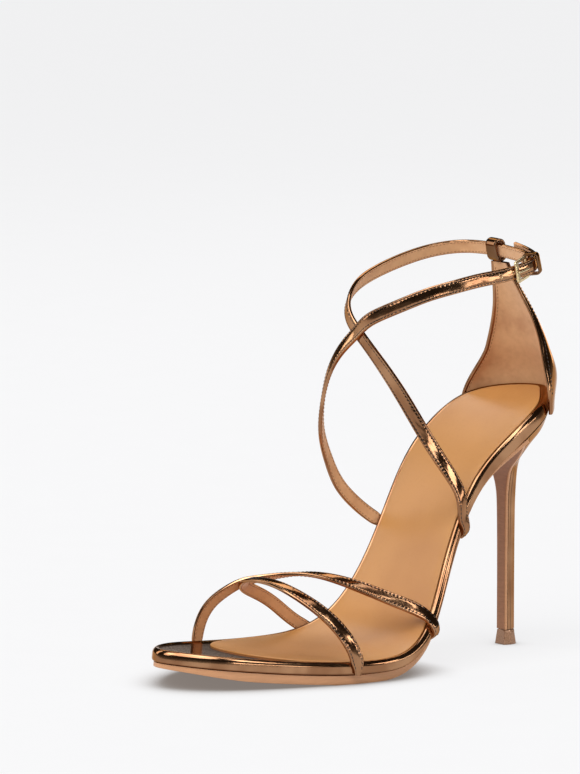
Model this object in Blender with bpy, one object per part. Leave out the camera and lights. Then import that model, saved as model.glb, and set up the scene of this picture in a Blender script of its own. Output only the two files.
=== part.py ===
"""Strappy heeled sandal for the left foot.

Metres, +Z up. The origin is the middle of the heel tip's flat underside, the toes
point to -Y and the outer side of the foot lies at +X. The footbed's rim is worked
out from an outline table and a profile table, and every other piece takes its place
from that rim, from the heel's table or from the route of a strap.
"""

import math

import bmesh
import bpy
import numpy as np
from mathutils import Matrix, Vector

MM = 0.001

# Driving dimensions
FOOTBED_LENGTH = 202 * MM
BALL_WIDTH = 80 * MM
SEAT_HEIGHT = 110 * MM
HEEL_OVERHANG = 20 * MM
TOE_SPRING = 6.9 * MM
BOARD_FORE = 5.0 * MM
BOARD_WAIST = 3.6 * MM
BOARD_SEAT = 6.0 * MM
BOARD_TOP_ROUND = 1.5 * MM
BOARD_LOW_ROUND = 1.1 * MM
SEAT_DISH = 1.2 * MM
SOCK_THICKNESS = 0.9 * MM
SOCK_MARGIN = 2.6 * MM
SOCK_MARGIN_BACK = 3.6 * MM
OUTSOLE_TOE = 1.8 * MM
OUTSOLE_FORE = 3.8 * MM
OUTSOLE_WAIST = 1.8 * MM
OUTSOLE_MARGIN = 1.0 * MM
OUTSOLE_MARGIN_WAIST = 3.0 * MM
BREAST_FLAP = 1.2 * MM
TREAD_FLAT = 0.25 * MM
HEEL_MARGIN = 0.6 * MM
STEM_HALF_WIDTH = 2.9 * MM
STEM_FRONT = -1.2 * MM
STEM_BACK = 4.2 * MM
TIP_HEIGHT = 6.2 * MM
TIP_HALF_WIDTH = 3.9 * MM
TIP_LENGTH = 7.9 * MM
TIP_TAPER = 0.8
COUNTER_HALF_WIDTH = 27 * MM
COUNTER_LEAN = 21.5 * MM
COUNTER_WALL = 1.6 * MM
STRAP_WIDTH = 5.8 * MM
STRAP_THICKNESS = 1.5 * MM
STRAP_CROWN = 0.15 * MM
TOE_STRAP_RISE = 30 * MM
COLLAR_RISE = 60 * MM
COLLAR_HALF_WIDTH = 31 * MM
COLLAR_DEPTH = 78 * MM
LOOP_BAND = 7.0 * MM
LOOP_THICKNESS = 1.2 * MM
LOOP_SLACK = 0.9 * MM
BUCKLE_LENGTH = 12.4 * MM
BUCKLE_HEIGHT = 9.4 * MM
BUCKLE_BAR = 1.3 * MM
PRONG_THICKNESS = 1.0 * MM
KEEPER_BAND = 3.0 * MM
KEEPER_THICKNESS = 1.0 * MM
KEEPER_SLACK = 0.45 * MM
KEEPER_STEP = 3.0 * MM
HOLE_RADIUS = 0.8 * MM
HOLE_COUNT = 3
HOLE_PITCH = 8.0 * MM
PRONG_HOLE_RADIUS = 1.2 * MM
PRONG_HOLE_BACK = 4.2 * MM
SOCK_EDGE = 0.3 * MM
OUTSOLE_EDGE = 0.4 * MM
GAP = 0.3 * MM
FOOT_LIFT = 0.1 * MM
SEAM_BITE = 0.2 * MM
WELD = 0.001 * MM

# Places along the footbed, as shares of its length from the toe
SOCK_FRONT = 0.175
SOCK_FULL = 0.31
LIP_ALONG = 0.83
COUNTER_WING_INNER = 0.885
COUNTER_WING_OUTER = 0.915

# What follows from the sizes
TREAD = OUTSOLE_FORE + GAP + BOARD_FORE
COLLAR_BACK = HEEL_OVERHANG + GAP + COUNTER_WALL / 2 - COUNTER_LEAN

# How finely the pieces are divided, and how round the sock's front is
STATIONS = 36
STATION_CROWD = 0.45
FILL = (0.25, 0.5, 0.75)
SOCK_ROUND = 2.3
SOCK_FRONT_ROWS = np.array([0, 0.03, 0.12, 0.27])
LIP_CLEAR = 0.012
FLAP_ROWS = 6
HEEL_ROWS = 17
HEEL_SIDES = 16
COUNTER_ROWS = 10
COUNTER_STEPS = 14
STRAP_PITCH = 4.2 * MM
STRAP_FOLD = 0.32
WALL_TOP = 0.25
BAND_BEND = 1.2
WIRE_SIDES = 6

# The footbed's rim seen from above: along from the toe as a share of FOOTBED_LENGTH,
# and both edges from the centre line as shares of BALL_WIDTH, the outer side positive.
OUTLINE_COLUMNS = ("along", "inner", "outer")
OUTLINE = (
    (0.00, -0.090, -0.090),
    (0.03, -0.235, 0.062),
    (0.08, -0.345, 0.180),
    (0.15, -0.437, 0.274),
    (0.22, -0.475, 0.349),
    (0.30, -0.500, 0.421),
    (0.38, -0.500, 0.482),
    (0.46, -0.459, 0.504),
    (0.54, -0.380, 0.450),
    (0.62, -0.320, 0.352),
    (0.70, -0.334, 0.306),
    (0.78, -0.364, 0.327),
    (0.86, -0.359, 0.333),
    (0.92, -0.312, 0.262),
    (0.97, -0.202, 0.138),
    (1.00, 0.000, 0.000),
)

# The rim seen from the side: spring as a share of TOE_SPRING and climb as a share of
# the seat's height above the tread.
PROFILE_COLUMNS = ("along", "spring", "climb")
PROFILE = (
    (0.00, 1.00, 0.000),
    (0.08, 0.70, 0.000),
    (0.16, 0.42, 0.000),
    (0.24, 0.18, 0.000),
    (0.32, 0.01, 0.000),
    (0.40, -0.02, 0.000),
    (0.48, 0.00, 0.024),
    (0.56, 0.00, 0.142),
    (0.64, 0.00, 0.405),
    (0.72, 0.00, 0.672),
    (0.80, 0.00, 0.833),
    (0.88, 0.00, 0.937),
    (1.00, 0.00, 1.000),
)

# The heel from its tip to its lip. reach runs from the stem's front to the lip and
# rise from the floor to the lip, half widens from the stem to the lip, retreat runs
# from the stem's back to the seat's back and climb from the floor to it, and pinch is
# the power that draws the section's sides in.
HEEL_COLUMNS = ("reach", "rise", "half", "retreat", "climb", "pinch")
HEEL = (
    (0.000, 0.000, 0.00, 0.000, 0.000, 1.0),
    (0.000, 0.350, 0.00, 0.000, 0.254, 1.0),
    (0.005, 0.600, 0.01, 0.005, 0.487, 1.0),
    (0.020, 0.700, 0.03, 0.010, 0.583, 1.0),
    (0.055, 0.762, 0.08, 0.025, 0.668, 1.05),
    (0.110, 0.800, 0.14, 0.055, 0.727, 1.1),
    (0.190, 0.833, 0.25, 0.110, 0.787, 1.15),
    (0.310, 0.868, 0.42, 0.200, 0.853, 1.2),
    (0.500, 0.912, 0.64, 0.350, 0.907, 1.15),
    (0.740, 0.958, 0.84, 0.580, 0.953, 1.05),
)

# The heel tip's faceted outline from its front to its back, one half of it.
TIP_COLUMNS = ("half", "back")
TIP = (
    (0.80, -0.42),
    (1.00, 0.00),
    (0.87, 0.37),
    (0.40, 0.58),
)

# The counter from its foot to its top: lean of the back line as a share of
# COUNTER_LEAN; half its width, depth of its wings and shift of its middle as shares
# of COUNTER_HALF_WIDTH.
COUNTER_COLUMNS = ("rise", "lean", "half", "depth", "shift")
COUNTER = (
    (0.00, 0.000, 1.00, 0.80, 0.00),
    (0.10, 0.000, 0.90, 0.74, 0.00),
    (0.28, 0.180, 0.76, 0.53, 0.00),
    (0.52, 0.470, 0.57, 0.27, 0.00),
    (0.69, 0.680, 0.41, 0.16, -0.02),
    (0.90, 0.930, 0.24, 0.06, -0.10),
    (1.00, 1.000, 0.18, 0.03, -0.15),
)

# The strap from the inner toe side over the foot to the outer ball. across is a share
# of BALL_WIDTH, along of FOOTBED_LENGTH and rise of TOE_STRAP_RISE above the tread.
# layer sets which strap lies over the other where two cross. Where an end is sewn to
# the board, two stations along the footbed place it at the wall's top and at its foot.
TOE_COLUMNS = ("across", "along", "rise", "layer")
TOE_STRAP = (
    (-0.460, 0.232, 0.43, 0),
    (-0.430, 0.244, 0.60, 0),
    (-0.385, 0.262, 0.745, 0),
    (-0.310, 0.291, 0.885, 1),
    (-0.225, 0.318, 0.975, 0),
    (-0.130, 0.348, 1.03, 0),
    (-0.030, 0.383, 1.045, 0),
    (0.080, 0.424, 0.97, 0),
    (0.200, 0.467, 0.83, 0),
    (0.310, 0.508, 0.68, 0),
    (0.400, 0.540, 0.54, 0),
)
TOE_STRAP_INNER = (0.224, 0.224)
TOE_STRAP_OUTER = (0.558, 0.558)

# The strap from the inner ball forward under the first one and down to the outer toes.
BALL_STRAP = (
    (-0.458, 0.460, 0.27, 0),
    (-0.450, 0.412, 0.48, 0),
    (-0.412, 0.352, 0.69, 0),
    (-0.310, 0.291, 0.885, -1),
    (-0.215, 0.271, 0.975, 0),
    (-0.100, 0.261, 1.03, 0),
    (0.040, 0.260, 1.03, 0),
    (0.170, 0.267, 0.95, 0),
    (0.280, 0.282, 0.81, 0),
    (0.370, 0.302, 0.62, 0),
    (0.438, 0.324, 0.36, 0),
)
BALL_STRAP_INNER = (0.500, 0.500)
BALL_STRAP_OUTER = (0.346, 0.346)

# The two ankle straps. across is a share of COLLAR_HALF_WIDTH, forward of COLLAR_DEPTH
# from the collar's back line, and rise of COLLAR_RISE above the seat.
ANKLE_COLUMNS = ("across", "forward", "rise", "layer")
FRONT_STRAP = (
    (-0.919, 0.678, -0.860, 0),
    (-0.968, 0.756, -0.772, 0),
    (-1.010, 0.847, -0.637, 0),
    (-1.030, 0.912, -0.463, 0),
    (-0.990, 0.975, -0.250, 0),
    (-0.903, 0.995, -0.023, 0),
    (-0.740, 0.998, 0.200, 0),
    (-0.500, 0.990, 0.370, 0),
    (-0.226, 0.975, 0.490, 1),
    (0.032, 0.990, 0.587, 0),
    (0.320, 0.968, 0.662, 0),
    (0.600, 0.915, 0.732, 0),
    (0.820, 0.825, 0.798, 0),
    (0.970, 0.690, 0.846, 0),
    (1.030, 0.530, 0.880, 0),
    (1.034, 0.400, 0.893, 0),
    (1.016, 0.290, 0.908, 0),
    (1.000, 0.220, 0.921, 0),
    (0.915, 0.110, 0.950, 0),
    (0.755, 0.048, 0.966, 0),
    (0.560, 0.008, 0.976, 0),
    (0.350, -0.016, 0.988, 0),
    (0.120, -0.024, 1.004, 0),
)
FRONT_STRAP_INNER = (0.655, 0.655)
BUCKLE_POINT = 17

BACK_STRAP = (
    (0.823, 0.592, -0.650, 0),
    (0.774, 0.618, -0.550, 0),
    (0.677, 0.663, -0.428, 0),
    (0.548, 0.735, -0.250, 0),
    (0.290, 0.814, 0.025, 0),
    (0.040, 0.880, 0.250, 0),
    (-0.226, 0.975, 0.490, -1),
    (-0.420, 0.968, 0.590, 0),
    (-0.590, 0.920, 0.690, 0),
    (-0.720, 0.830, 0.770, 0),
    (-0.860, 0.690, 0.830, 0),
    (-0.950, 0.500, 0.890, 0),
    (-0.975, 0.320, 0.938, 0),
    (-0.950, 0.160, 0.967, 0),
    (-0.830, 0.048, 0.980, 0),
    (-0.550, 0.006, 0.985, 0),
    (-0.200, 0.006, 0.985, 0),
    (0.100, 0.018, 0.981, 0),
    (0.340, 0.022, 0.976, -1),
    (0.560, 0.022, 0.970, -2.6),
    (0.755, 0.056, 0.960, -3),
    (0.915, 0.114, 0.948, -3),
)
BACK_STRAP_OUTER = (0.684, 0.664)
LOOP_POINT = 16

# The middle of the foot and leg, which the straps face away from.
TOE_CORE = (
    (-0.03, 0.10, 0.20, 0),
    (-0.02, 0.25, 0.35, 0),
    (0.00, 0.40, 0.40, 0),
    (0.00, 0.55, 0.70, 0),
)
ANKLE_CORE = (
    (0.00, 1.03, -1.17, 0),
    (0.00, 0.67, -0.58, 0),
    (0.00, 0.54, -0.08, 0),
    (0.00, 0.49, 0.50, 0),
    (0.00, 0.475, 1.10, 0),
)


def clear_scene():
    """Start from an empty scene."""
    for thing in list(bpy.data.objects):
        bpy.data.objects.remove(thing, do_unlink=True)


def material(name, colour, roughness, metallic):
    """A plain finish for one kind of piece."""
    made = bpy.data.materials.new(name)
    made.use_nodes = True
    shader = made.node_tree.nodes["Principled BSDF"]
    shader.inputs["Base Color"].default_value = (*colour, 1.0)
    shader.inputs["Roughness"].default_value = roughness
    shader.inputs["Metallic"].default_value = metallic
    return made


def unit(vectors):
    """The same directions with length one."""
    vectors = np.asarray(vectors, float)
    return vectors / np.linalg.norm(vectors, axis=-1, keepdims=True)


def column(table, names, name):
    """One named column of a table."""
    return np.array([row[names.index(name)] for row in table], float)


class Smooth:
    """A cubic curve through values at knots, smooth to its second derivative."""

    def __init__(self, knots, values, closed=False):
        self.knots = np.asarray(knots, float)
        self.values = np.asarray(values, float)
        self.closed = closed
        count = len(self.knots)
        step = np.diff(self.knots)
        slope = (np.diff(self.values, axis=0).T / step).T
        system = np.eye(count)
        right = np.zeros_like(self.values)
        for i in range(1, count - 1):
            system[i, i - 1:i + 2] = step[i - 1], 2 * (step[i - 1] + step[i]), step[i]
            right[i] = 6 * (slope[i] - slope[i - 1])
        if closed:
            system[0, 0] = system[-1, -1] = 0
            system[0, :2] = 2 * step[0], step[0]
            system[0, -2:] += step[-1], 2 * step[-1]
            right[0] = 6 * (slope[0] - slope[-1])
            system[-1, 0] = 1
            system[-1, -1] = -1
        self.bend = np.linalg.solve(system, right)

    def __call__(self, at):
        """The curve's value at one place or at many."""
        at = np.asarray(at, float)
        if self.closed:
            span = self.knots[-1] - self.knots[0]
            at = self.knots[0] + np.mod(at - self.knots[0], span)
        i = np.clip(np.searchsorted(self.knots, at, side="right") - 1, 0, len(self.knots) - 2)
        step = self.knots[i + 1] - self.knots[i]
        after = at - self.knots[i]
        before = self.knots[i + 1] - at
        if self.values.ndim > 1:
            step, after, before = step[..., None], after[..., None], before[..., None]
        cubic = (self.bend[i] * before**3 + self.bend[i + 1] * after**3) / (6 * step)
        low = (self.values[i] / step - self.bend[i] * step / 6) * before
        high = (self.values[i + 1] / step - self.bend[i + 1] * step / 6) * after
        return cubic + low + high


def ease(value, low, high):
    """Zero below low, one above high and a soft step between."""
    share = np.clip((value - low) / (high - low), 0, 1)
    return share * share * (3 - 2 * share)


class Footbed:
    """The rim of the footbed and the surface that it bounds."""

    def __init__(self):
        along = column(OUTLINE, OUTLINE_COLUMNS, "along")
        inner = column(OUTLINE, OUTLINE_COLUMNS, "inner")
        outer = column(OUTLINE, OUTLINE_COLUMNS, "outer")
        turn = np.arccos(1 - 2 * along)
        turns = np.concatenate([turn, 2 * math.pi - turn[-2::-1]])
        self.across = Smooth(turns, np.concatenate([inner, outer[-2::-1]]) * BALL_WIDTH, True)
        spring = column(PROFILE, PROFILE_COLUMNS, "spring") * TOE_SPRING
        climb = column(PROFILE, PROFILE_COLUMNS, "climb") * (SEAT_HEIGHT - TREAD)
        self.level = Smooth(column(PROFILE, PROFILE_COLUMNS, "along"), TREAD + spring + climb)

    def point(self, turn):
        """A point of the rim: turn runs from the toe by the inner side to the heel and back."""
        along = (1 - np.cos(turn)) / 2
        y = HEEL_OVERHANG - FOOTBED_LENGTH * (1 - along)
        return np.stack([self.across(turn), y, self.level(along)], -1)

    def upward(self, along):
        """The surface's upward normal at a station."""
        nudge = 0.002
        low = np.clip(along - nudge, 0, 1)
        high = np.clip(along + nudge, 0, 1)
        rise = self.level(high) - self.level(low)
        run = (high - low) * FOOTBED_LENGTH
        return unit(np.stack([np.zeros_like(rise), -rise, run], -1))

    def inward(self, turn):
        """The direction in the surface from the rim to the inside."""
        nudge = 0.01
        path = self.point(turn + nudge) - self.point(turn - nudge)
        return unit(np.cross(path, self.upward((1 - np.cos(turn)) / 2)))

    def offset(self, turn, inset, drop):
        """A point set in from the rim and down from the surface."""
        turn = np.asarray(turn, float)
        up = self.upward((1 - np.cos(turn)) / 2)
        return self.point(turn) + self.inward(turn) * inset - up * np.asarray(drop)[..., None]

    def side(self, along, outer):
        """The turn at a station on the outer or the inner side."""
        turn = np.arccos(1 - 2 * np.asarray(along, float))
        return 2 * math.pi - turn if outer else turn


RIM = Footbed()


def rim_turns():
    """The stations of the footbed, closest at its ends and where it bends most."""
    share = np.linspace(0, 1, STATIONS + 1)
    return math.pi * (share - STATION_CROWD * np.sin(4 * math.pi * share) / (4 * math.pi))


def board_thickness(along):
    """The wrapped board, thinnest in the waist and thickest under the heel."""
    fore = BOARD_FORE + (BOARD_WAIST - BOARD_FORE) * ease(along, 0.42, 0.58)
    return fore + (BOARD_SEAT - BOARD_WAIST) * ease(along, 0.64, 0.80)


def outsole_thickness(along):
    """The outsole, thinner at the toe's tip and through the waist than under the ball."""
    fore = OUTSOLE_TOE + (OUTSOLE_FORE - OUTSOLE_TOE) * ease(along, -0.03, 0.15)
    return fore + (OUTSOLE_WAIST - OUTSOLE_FORE) * ease(along, 0.42, 0.62)


def outsole_margin(along):
    """How far the outsole lies in from the rim, more in the waist than at the toes."""
    waist = OUTSOLE_MARGIN + (OUTSOLE_MARGIN_WAIST - OUTSOLE_MARGIN) * ease(along, 0.30, 0.46)
    return waist + (HEEL_MARGIN - OUTSOLE_MARGIN_WAIST) * ease(along, 0.72, LIP_ALONG)


def sock_margin(along):
    """How far the sock lies in from the rim, more behind the heel."""
    return SOCK_MARGIN + (SOCK_MARGIN_BACK - SOCK_MARGIN) * ease(along, 0.88, 0.98)


def solid(name, rings, finish, closed=False, caps=(True, True)):
    """One closed body through rings of equal count, closed on itself or capped.

    An end that has drawn in to a line or a point needs no cap.
    """
    count, size = np.shape(rings)[:2]
    mesh = bmesh.new()
    rows = [[mesh.verts.new(point) for point in ring] for ring in rings]
    for i in range(count if closed else count - 1):
        low, high = rows[i], rows[(i + 1) % count]
        for j in range(size):
            k = (j + 1) % size
            mesh.faces.new((low[j], low[k], high[k], high[j]))
    if caps[0] and not closed:
        mesh.faces.new(rows[0][::-1])
    if caps[1] and not closed:
        mesh.faces.new(rows[-1])
    return finished(name, mesh, finish)


def finished(name, mesh, finish):
    """Close the seams of a mesh, turn its faces outward and make it an object."""
    bmesh.ops.remove_doubles(mesh, verts=mesh.verts, dist=WELD)
    bmesh.ops.dissolve_degenerate(mesh, edges=mesh.edges, dist=WELD)
    bmesh.ops.recalc_face_normals(mesh, faces=mesh.faces)
    data = bpy.data.meshes.new(name)
    mesh.to_mesh(data)
    mesh.free()
    made = bpy.data.objects.new(name, data)
    bpy.context.scene.collection.objects.link(made)
    data.materials.append(finish)
    data.shade_smooth()
    data.set_sharp_from_angle(angle=math.radians(40))
    return made


def corner(radius, start, steps=3):
    """Inset and drop along a quarter round that turns from a face into the wall."""
    angles = np.linspace(0, math.pi / 2, steps)
    return [(radius * (1 - math.sin(a)), start + radius * (1 - math.cos(a))) for a in angles]


def dish(along, share, chord):
    """How far the footbed's middle sinks below a straight line between its edges."""
    deep = SEAT_DISH * ease(along, 0.55, 0.8) * ease(chord, 0, BALL_WIDTH / 2)
    return deep * (1 - (2 * share - 1) ** 2)


def filled(left, right, along=None):
    """Points between two edge points, sunk by the dish where a station is given."""
    points = []
    chord = np.linalg.norm(right - left)
    for share in FILL:
        point = left + (right - left) * share
        if along is not None:
            point = point - RIM.upward(along) * dish(along, share, chord)
        points.append(point)
    return points


def boxed(inner, outer):
    """A section closed below and above between its inner and its outer edge."""
    return inner + filled(inner[-1], outer[-1]) + outer[::-1] + filled(outer[0], inner[0])


def insole(finish):
    """The board wrapped in leather: a slab with rounded edges below the rim."""
    sections = []
    for turn in rim_turns():
        along = (1 - math.cos(turn)) / 2
        depth = board_thickness(along)
        lower = [(inset, depth - drop) for inset, drop in corner(BOARD_LOW_ROUND, 0)][::-1]
        edge = corner(BOARD_TOP_ROUND, 0) + lower
        inner = [RIM.offset(turn, inset, drop) for inset, drop in edge]
        outer = [RIM.offset(2 * math.pi - turn, inset, drop) for inset, drop in edge]
        under = filled(inner[-1], outer[-1])
        top = filled(outer[0], inner[0], along)
        sections.append(inner + under + outer[::-1] + top)
    return solid("insole", sections, finish, caps=(False, False))


def sock(finish):
    """The sock on the footbed, its front edge curved across the toes."""
    stations = (1 - np.cos(rim_turns())) / 2
    front = SOCK_FRONT + (SOCK_FULL - SOCK_FRONT) * SOCK_FRONT_ROWS
    sections = []
    for along in [*front, *stations[stations > front[-1] + 0.01]]:
        inner = RIM.offset(RIM.side(along, False), sock_margin(along), 0)
        outer = RIM.offset(RIM.side(along, True), sock_margin(along), 0)
        short = min((along - SOCK_FRONT) / (SOCK_FULL - SOCK_FRONT), 1)
        width = (1 - (1 - short) ** SOCK_ROUND) ** (1 / SOCK_ROUND)
        inner, outer = (middle_between(inner, outer, width), middle_between(outer, inner, width))
        up = RIM.upward(along)
        low, high = up * GAP, up * (GAP + SOCK_THICKNESS)
        chord = np.linalg.norm(outer - inner)
        edge = (outer - inner) * min(SOCK_EDGE / max(chord, SOCK_EDGE), 0.3)
        side = [inner + low, inner + high - up * SOCK_EDGE, inner + high + edge]
        far = [outer + high - edge, outer + high - up * SOCK_EDGE, outer + low]
        top = filled(side[-1], far[0], along)
        under = filled(far[-1], side[0], along)
        sections.append(side + top + far + under)
    return solid("sock", sections, finish, caps=(False, False))


def middle_between(near, far, width):
    """The near one of two edge points, drawn to their middle as the width falls to zero."""
    return (near + far) / 2 + (near - far) / 2 * width


class Heel:
    """The heel's rows, each with its breast line in front and its back point."""

    def __init__(self):
        lip = [self.seat(LIP_ALONG, outer) for outer in (False, True)]
        seat_back = self.seat(1.0, False)
        self.lip = (lip[0] + lip[1]) / 2
        self.lip_half = (lip[1][0] - lip[0][0]) / 2
        table = np.array(HEEL, float)
        rows = Smooth(np.arange(len(HEEL)), table)(np.linspace(0, len(HEEL) - 1, HEEL_ROWS))
        reach, rise, half, retreat, climb, self.pinch = rows.T
        front = STEM_FRONT + reach * (self.lip[1] - STEM_FRONT)
        back = STEM_BACK + retreat * (seat_back[1] - STEM_BACK)
        floor = TIP_HEIGHT + GAP
        low = floor + rise * (self.lip[2] - floor)
        high = floor + climb * (seat_back[2] - floor)
        self.breast = np.stack([front, low], -1)
        self.back = np.stack([back, high], -1)
        self.half = STEM_HALF_WIDTH + half * (self.lip_half - STEM_HALF_WIDTH)
        self.middle = ease(reach, 0.0, 0.6) * self.lip[0]

    def seat(self, along, outer):
        """A point of the heel's upper edge, under the board."""
        drop = board_thickness(along) + GAP
        return RIM.offset(RIM.side(along, outer), HEEL_MARGIN, drop)

    def ring(self, row):
        """One section: round the back from the outer edge, then along the breast."""
        points = []
        for turn in np.linspace(0, math.pi, HEEL_SIDES + 1):
            power = self.pinch[row]
            wide = math.copysign(abs(math.cos(turn)) ** power, math.cos(turn))
            deep = max(math.sin(turn), 0) ** power
            y, z = self.breast[row] + (self.back[row] - self.breast[row]) * deep
            points.append(np.array([self.middle[row] + self.half[row] * wide, y, z]))
        return points + filled(points[-1], points[0])

    def seat_ring(self):
        """The topmost section, which follows the underside of the board."""
        points = []
        for turn in np.linspace(0, math.pi, HEEL_SIDES + 1):
            along = LIP_ALONG + (1 - LIP_ALONG) * min(math.sin(turn), 1)
            points.append(self.seat(along, turn < math.pi / 2))
        return points + filled(points[-1], points[0])


def heel(finish, form):
    """The covered heel, open nowhere: its stem flares into a cup under the seat."""
    rings = [form.ring(row) for row in range(HEEL_ROWS)] + [form.seat_ring()]
    made = solid("heel", rings, finish, caps=(True, False))
    mesh = bmesh.new()
    mesh.from_mesh(made.data)
    top = rings[-1]
    half = HEEL_SIDES // 2
    bands = []
    for j in range(half + 1):
        near, far = top[j], top[HEEL_SIDES - j]
        bands.append([near] + filled(near, far) + [far])
    rows = [[mesh.verts.new(point) for point in band] for band in bands]
    for low, high in zip(rows[:-1], rows[1:]):
        for j in range(len(low) - 1):
            mesh.faces.new((low[j], low[j + 1], high[j + 1], high[j]))
    bpy.data.objects.remove(made, do_unlink=True)
    return finished("heel", mesh, finish)


def outsole(finish, form):
    """The outsole: flat at the tread, thin in the waist and on down the heel's breast."""
    sections = []
    for turn in rim_turns():
        along = (1 - math.cos(turn)) / 2
        if along > LIP_ALONG - LIP_CLEAR:
            break
        start = board_thickness(along) + GAP
        depth = outsole_thickness(along)
        margin = outsole_margin(along)
        edge = [
            (margin, start),
            (margin, start + depth - OUTSOLE_EDGE),
            (margin + OUTSOLE_EDGE, start + depth),
        ]
        inner = [RIM.offset(turn, inset, drop) for inset, drop in edge]
        outer = [RIM.offset(2 * math.pi - turn, inset, drop) for inset, drop in edge]
        for tread in (inner[-1], outer[-1]):
            if tread[2] < TREAD_FLAT:
                tread[2] = 0
        sections.append(boxed(inner, outer))
    breast = np.concatenate([form.breast, [form.lip[1:]]])[::-1]
    half = np.append(form.half, form.lip_half)[::-1]
    middle = np.append(form.middle, form.lip[0])[::-1]
    before = (inner[0][1:] + outer[0][1:]) / 2
    path = np.concatenate([[before], breast])
    lead = unit(np.gradient(path, axis=0))[1:]
    outward = np.stack([lead[:, 1], -lead[:, 0]], -1)
    waist = outsole_thickness(LIP_ALONG)
    for i, (place, out) in enumerate(zip(breast, outward)):
        depth = waist + (BREAST_FLAP - waist) * ease(i, 0, FLAP_ROWS)
        near = place + out * GAP
        far = near + out * (depth - OUTSOLE_EDGE)
        low = near + out * depth
        sides = []
        for sign in (-1, 1):
            x = middle[i] + sign * half[i]
            inset = x - sign * OUTSOLE_EDGE
            sides.append([np.array([x, *near]), np.array([x, *far]), np.array([inset, *low])])
        sections.append(boxed(*sides))
    return solid("outsole", sections, finish, caps=(False, True))


def top_piece(finish):
    """The heel tip: a faceted block that widens to the floor."""
    x = column(TIP, TIP_COLUMNS, "half") * TIP_HALF_WIDTH
    y = column(TIP, TIP_COLUMNS, "back") * TIP_LENGTH
    x, y = np.concatenate([x, -x[::-1]]), np.concatenate([y, y[::-1]])
    rings = []
    for z, scale in ((0, 1), (TIP_HEIGHT, TIP_TAPER)):
        rings.append(np.stack([x * scale, y * scale, np.full(len(x), z)], -1))
    return solid("top_piece", rings, finish)


def route_points(route, names, kind):
    """A route's points in metres."""
    across, along, rise, layer = (column(route, names, name) for name in names)
    if kind == "toe":
        y = HEEL_OVERHANG - FOOTBED_LENGTH * (1 - along)
        return np.stack([across * BALL_WIDTH, y, TREAD + rise * TOE_STRAP_RISE], -1), layer
    y = COLLAR_BACK - along * COLLAR_DEPTH
    return np.stack([across * COLLAR_HALF_WIDTH, y, SEAT_HEIGHT + rise * COLLAR_RISE], -1), layer


def outward_from(core, points):
    """The direction in which each point lies from the nearest stretch of a core line."""
    knots = np.arange(len(core))
    line = Smooth(knots, core)(np.linspace(0, knots[-1], 60))
    away = points[:, None] - line[None]
    weight = np.sum(away**2, axis=-1) ** -4.0
    return unit(np.sum(away * weight[..., None], axis=1) / weight.sum(1)[:, None])


def wall_points(stations, outer):
    """Where a strap's end lies on the wrapped wall, and which way it faces: foot, then top."""
    out = GAP + STRAP_THICKNESS / 2
    top, foot = (RIM.side(along, outer) for along in stations)
    depth = board_thickness(stations[1])
    feet = [RIM.offset(foot, -out, depth - FOOT_LIFT), RIM.offset(top, -out, depth * WALL_TOP)]
    return np.array(feet), -np.array([RIM.inward(foot), RIM.inward(top)])


class Strap:
    """A strap's middle line and the way that its outer face looks."""

    def __init__(self, route, kind, start=None, end=None):
        names, core = (TOE_COLUMNS, TOE_CORE) if kind == "toe" else (ANKLE_COLUMNS, ANKLE_CORE)
        middle = route_points(core, names, kind)[0]
        points, layer = route_points(route, names, kind)
        facing = outward_from(middle, points)
        points = points + facing * (layer * (STRAP_THICKNESS - SEAM_BITE) / 2)[:, None]
        for place, first in ((start, True), (end, False)):
            if place is None:
                continue
            feet, outs = wall_points(*place)
            if first:
                points, facing = np.concatenate([feet, points]), np.concatenate([outs, facing])
            else:
                points = np.concatenate([points, feet[::-1]])
                facing = np.concatenate([facing, outs[::-1]])
        steps = np.linalg.norm(np.diff(points, axis=0), axis=1)
        self.knots = np.concatenate([[0], np.cumsum(steps)])
        self.points = points
        self.line = Smooth(self.knots, points)
        self.face = Smooth(self.knots, facing)

    def frame(self, at):
        """Middle, outward direction and width direction at a distance along."""
        at = np.asarray(at, float)
        nudge = 0.5 * MM
        heading = unit(self.line(at + nudge) - self.line(at - nudge))
        width = unit(np.cross(heading, self.face(at)))
        return self.line(at), np.cross(width, heading), width

    def nearest(self, place):
        """The distance along the strap at which it comes closest to a place."""
        at = np.linspace(0, self.knots[-1], 1500)
        return at[np.argmin(np.linalg.norm(self.line(at) - place, axis=1))]


def strap_section(width, thickness):
    """A strap's section: folded edges and a slightly crowned outer face."""
    half, deep, fold = width / 2, thickness / 2, STRAP_FOLD * thickness
    return [
        (-half, -deep + fold),
        (-half + fold, -deep),
        (half - fold, -deep),
        (half, -deep + fold),
        (half, deep - fold),
        (half - fold, deep),
        (0, deep + STRAP_CROWN),
        (-half + fold, deep),
        (-half, deep - fold),
    ]


def strap_solid(name, strap, finish):
    """The solid of one strap."""
    count = int(strap.knots[-1] / STRAP_PITCH) + 1
    section = strap_section(STRAP_WIDTH, STRAP_THICKNESS)
    rings = []
    for at in np.linspace(0, strap.knots[-1], count + 1):
        middle, out, width = strap.frame(at)
        rings.append([middle + width * across + out * deep for across, deep in section])
    return solid(name, rings, finish)


def cylinder(name, centre, axis, radius, length, sides=10):
    """A hidden round cutter."""
    mesh = bmesh.new()
    turn = Vector(axis).to_track_quat("Z", "Y").to_matrix().to_4x4()
    place = Matrix.Translation(Vector(centre)) @ turn
    bmesh.ops.create_cone(
        mesh, cap_ends=True, segments=sides,
        radius1=radius, radius2=radius, depth=length, matrix=place,
    )
    data = bpy.data.meshes.new(name)
    mesh.to_mesh(data)
    mesh.free()
    made = bpy.data.objects.new(name, data)
    bpy.context.scene.collection.objects.link(made)
    made.hide_render = True
    made.display_type = "WIRE"
    return made


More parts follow.
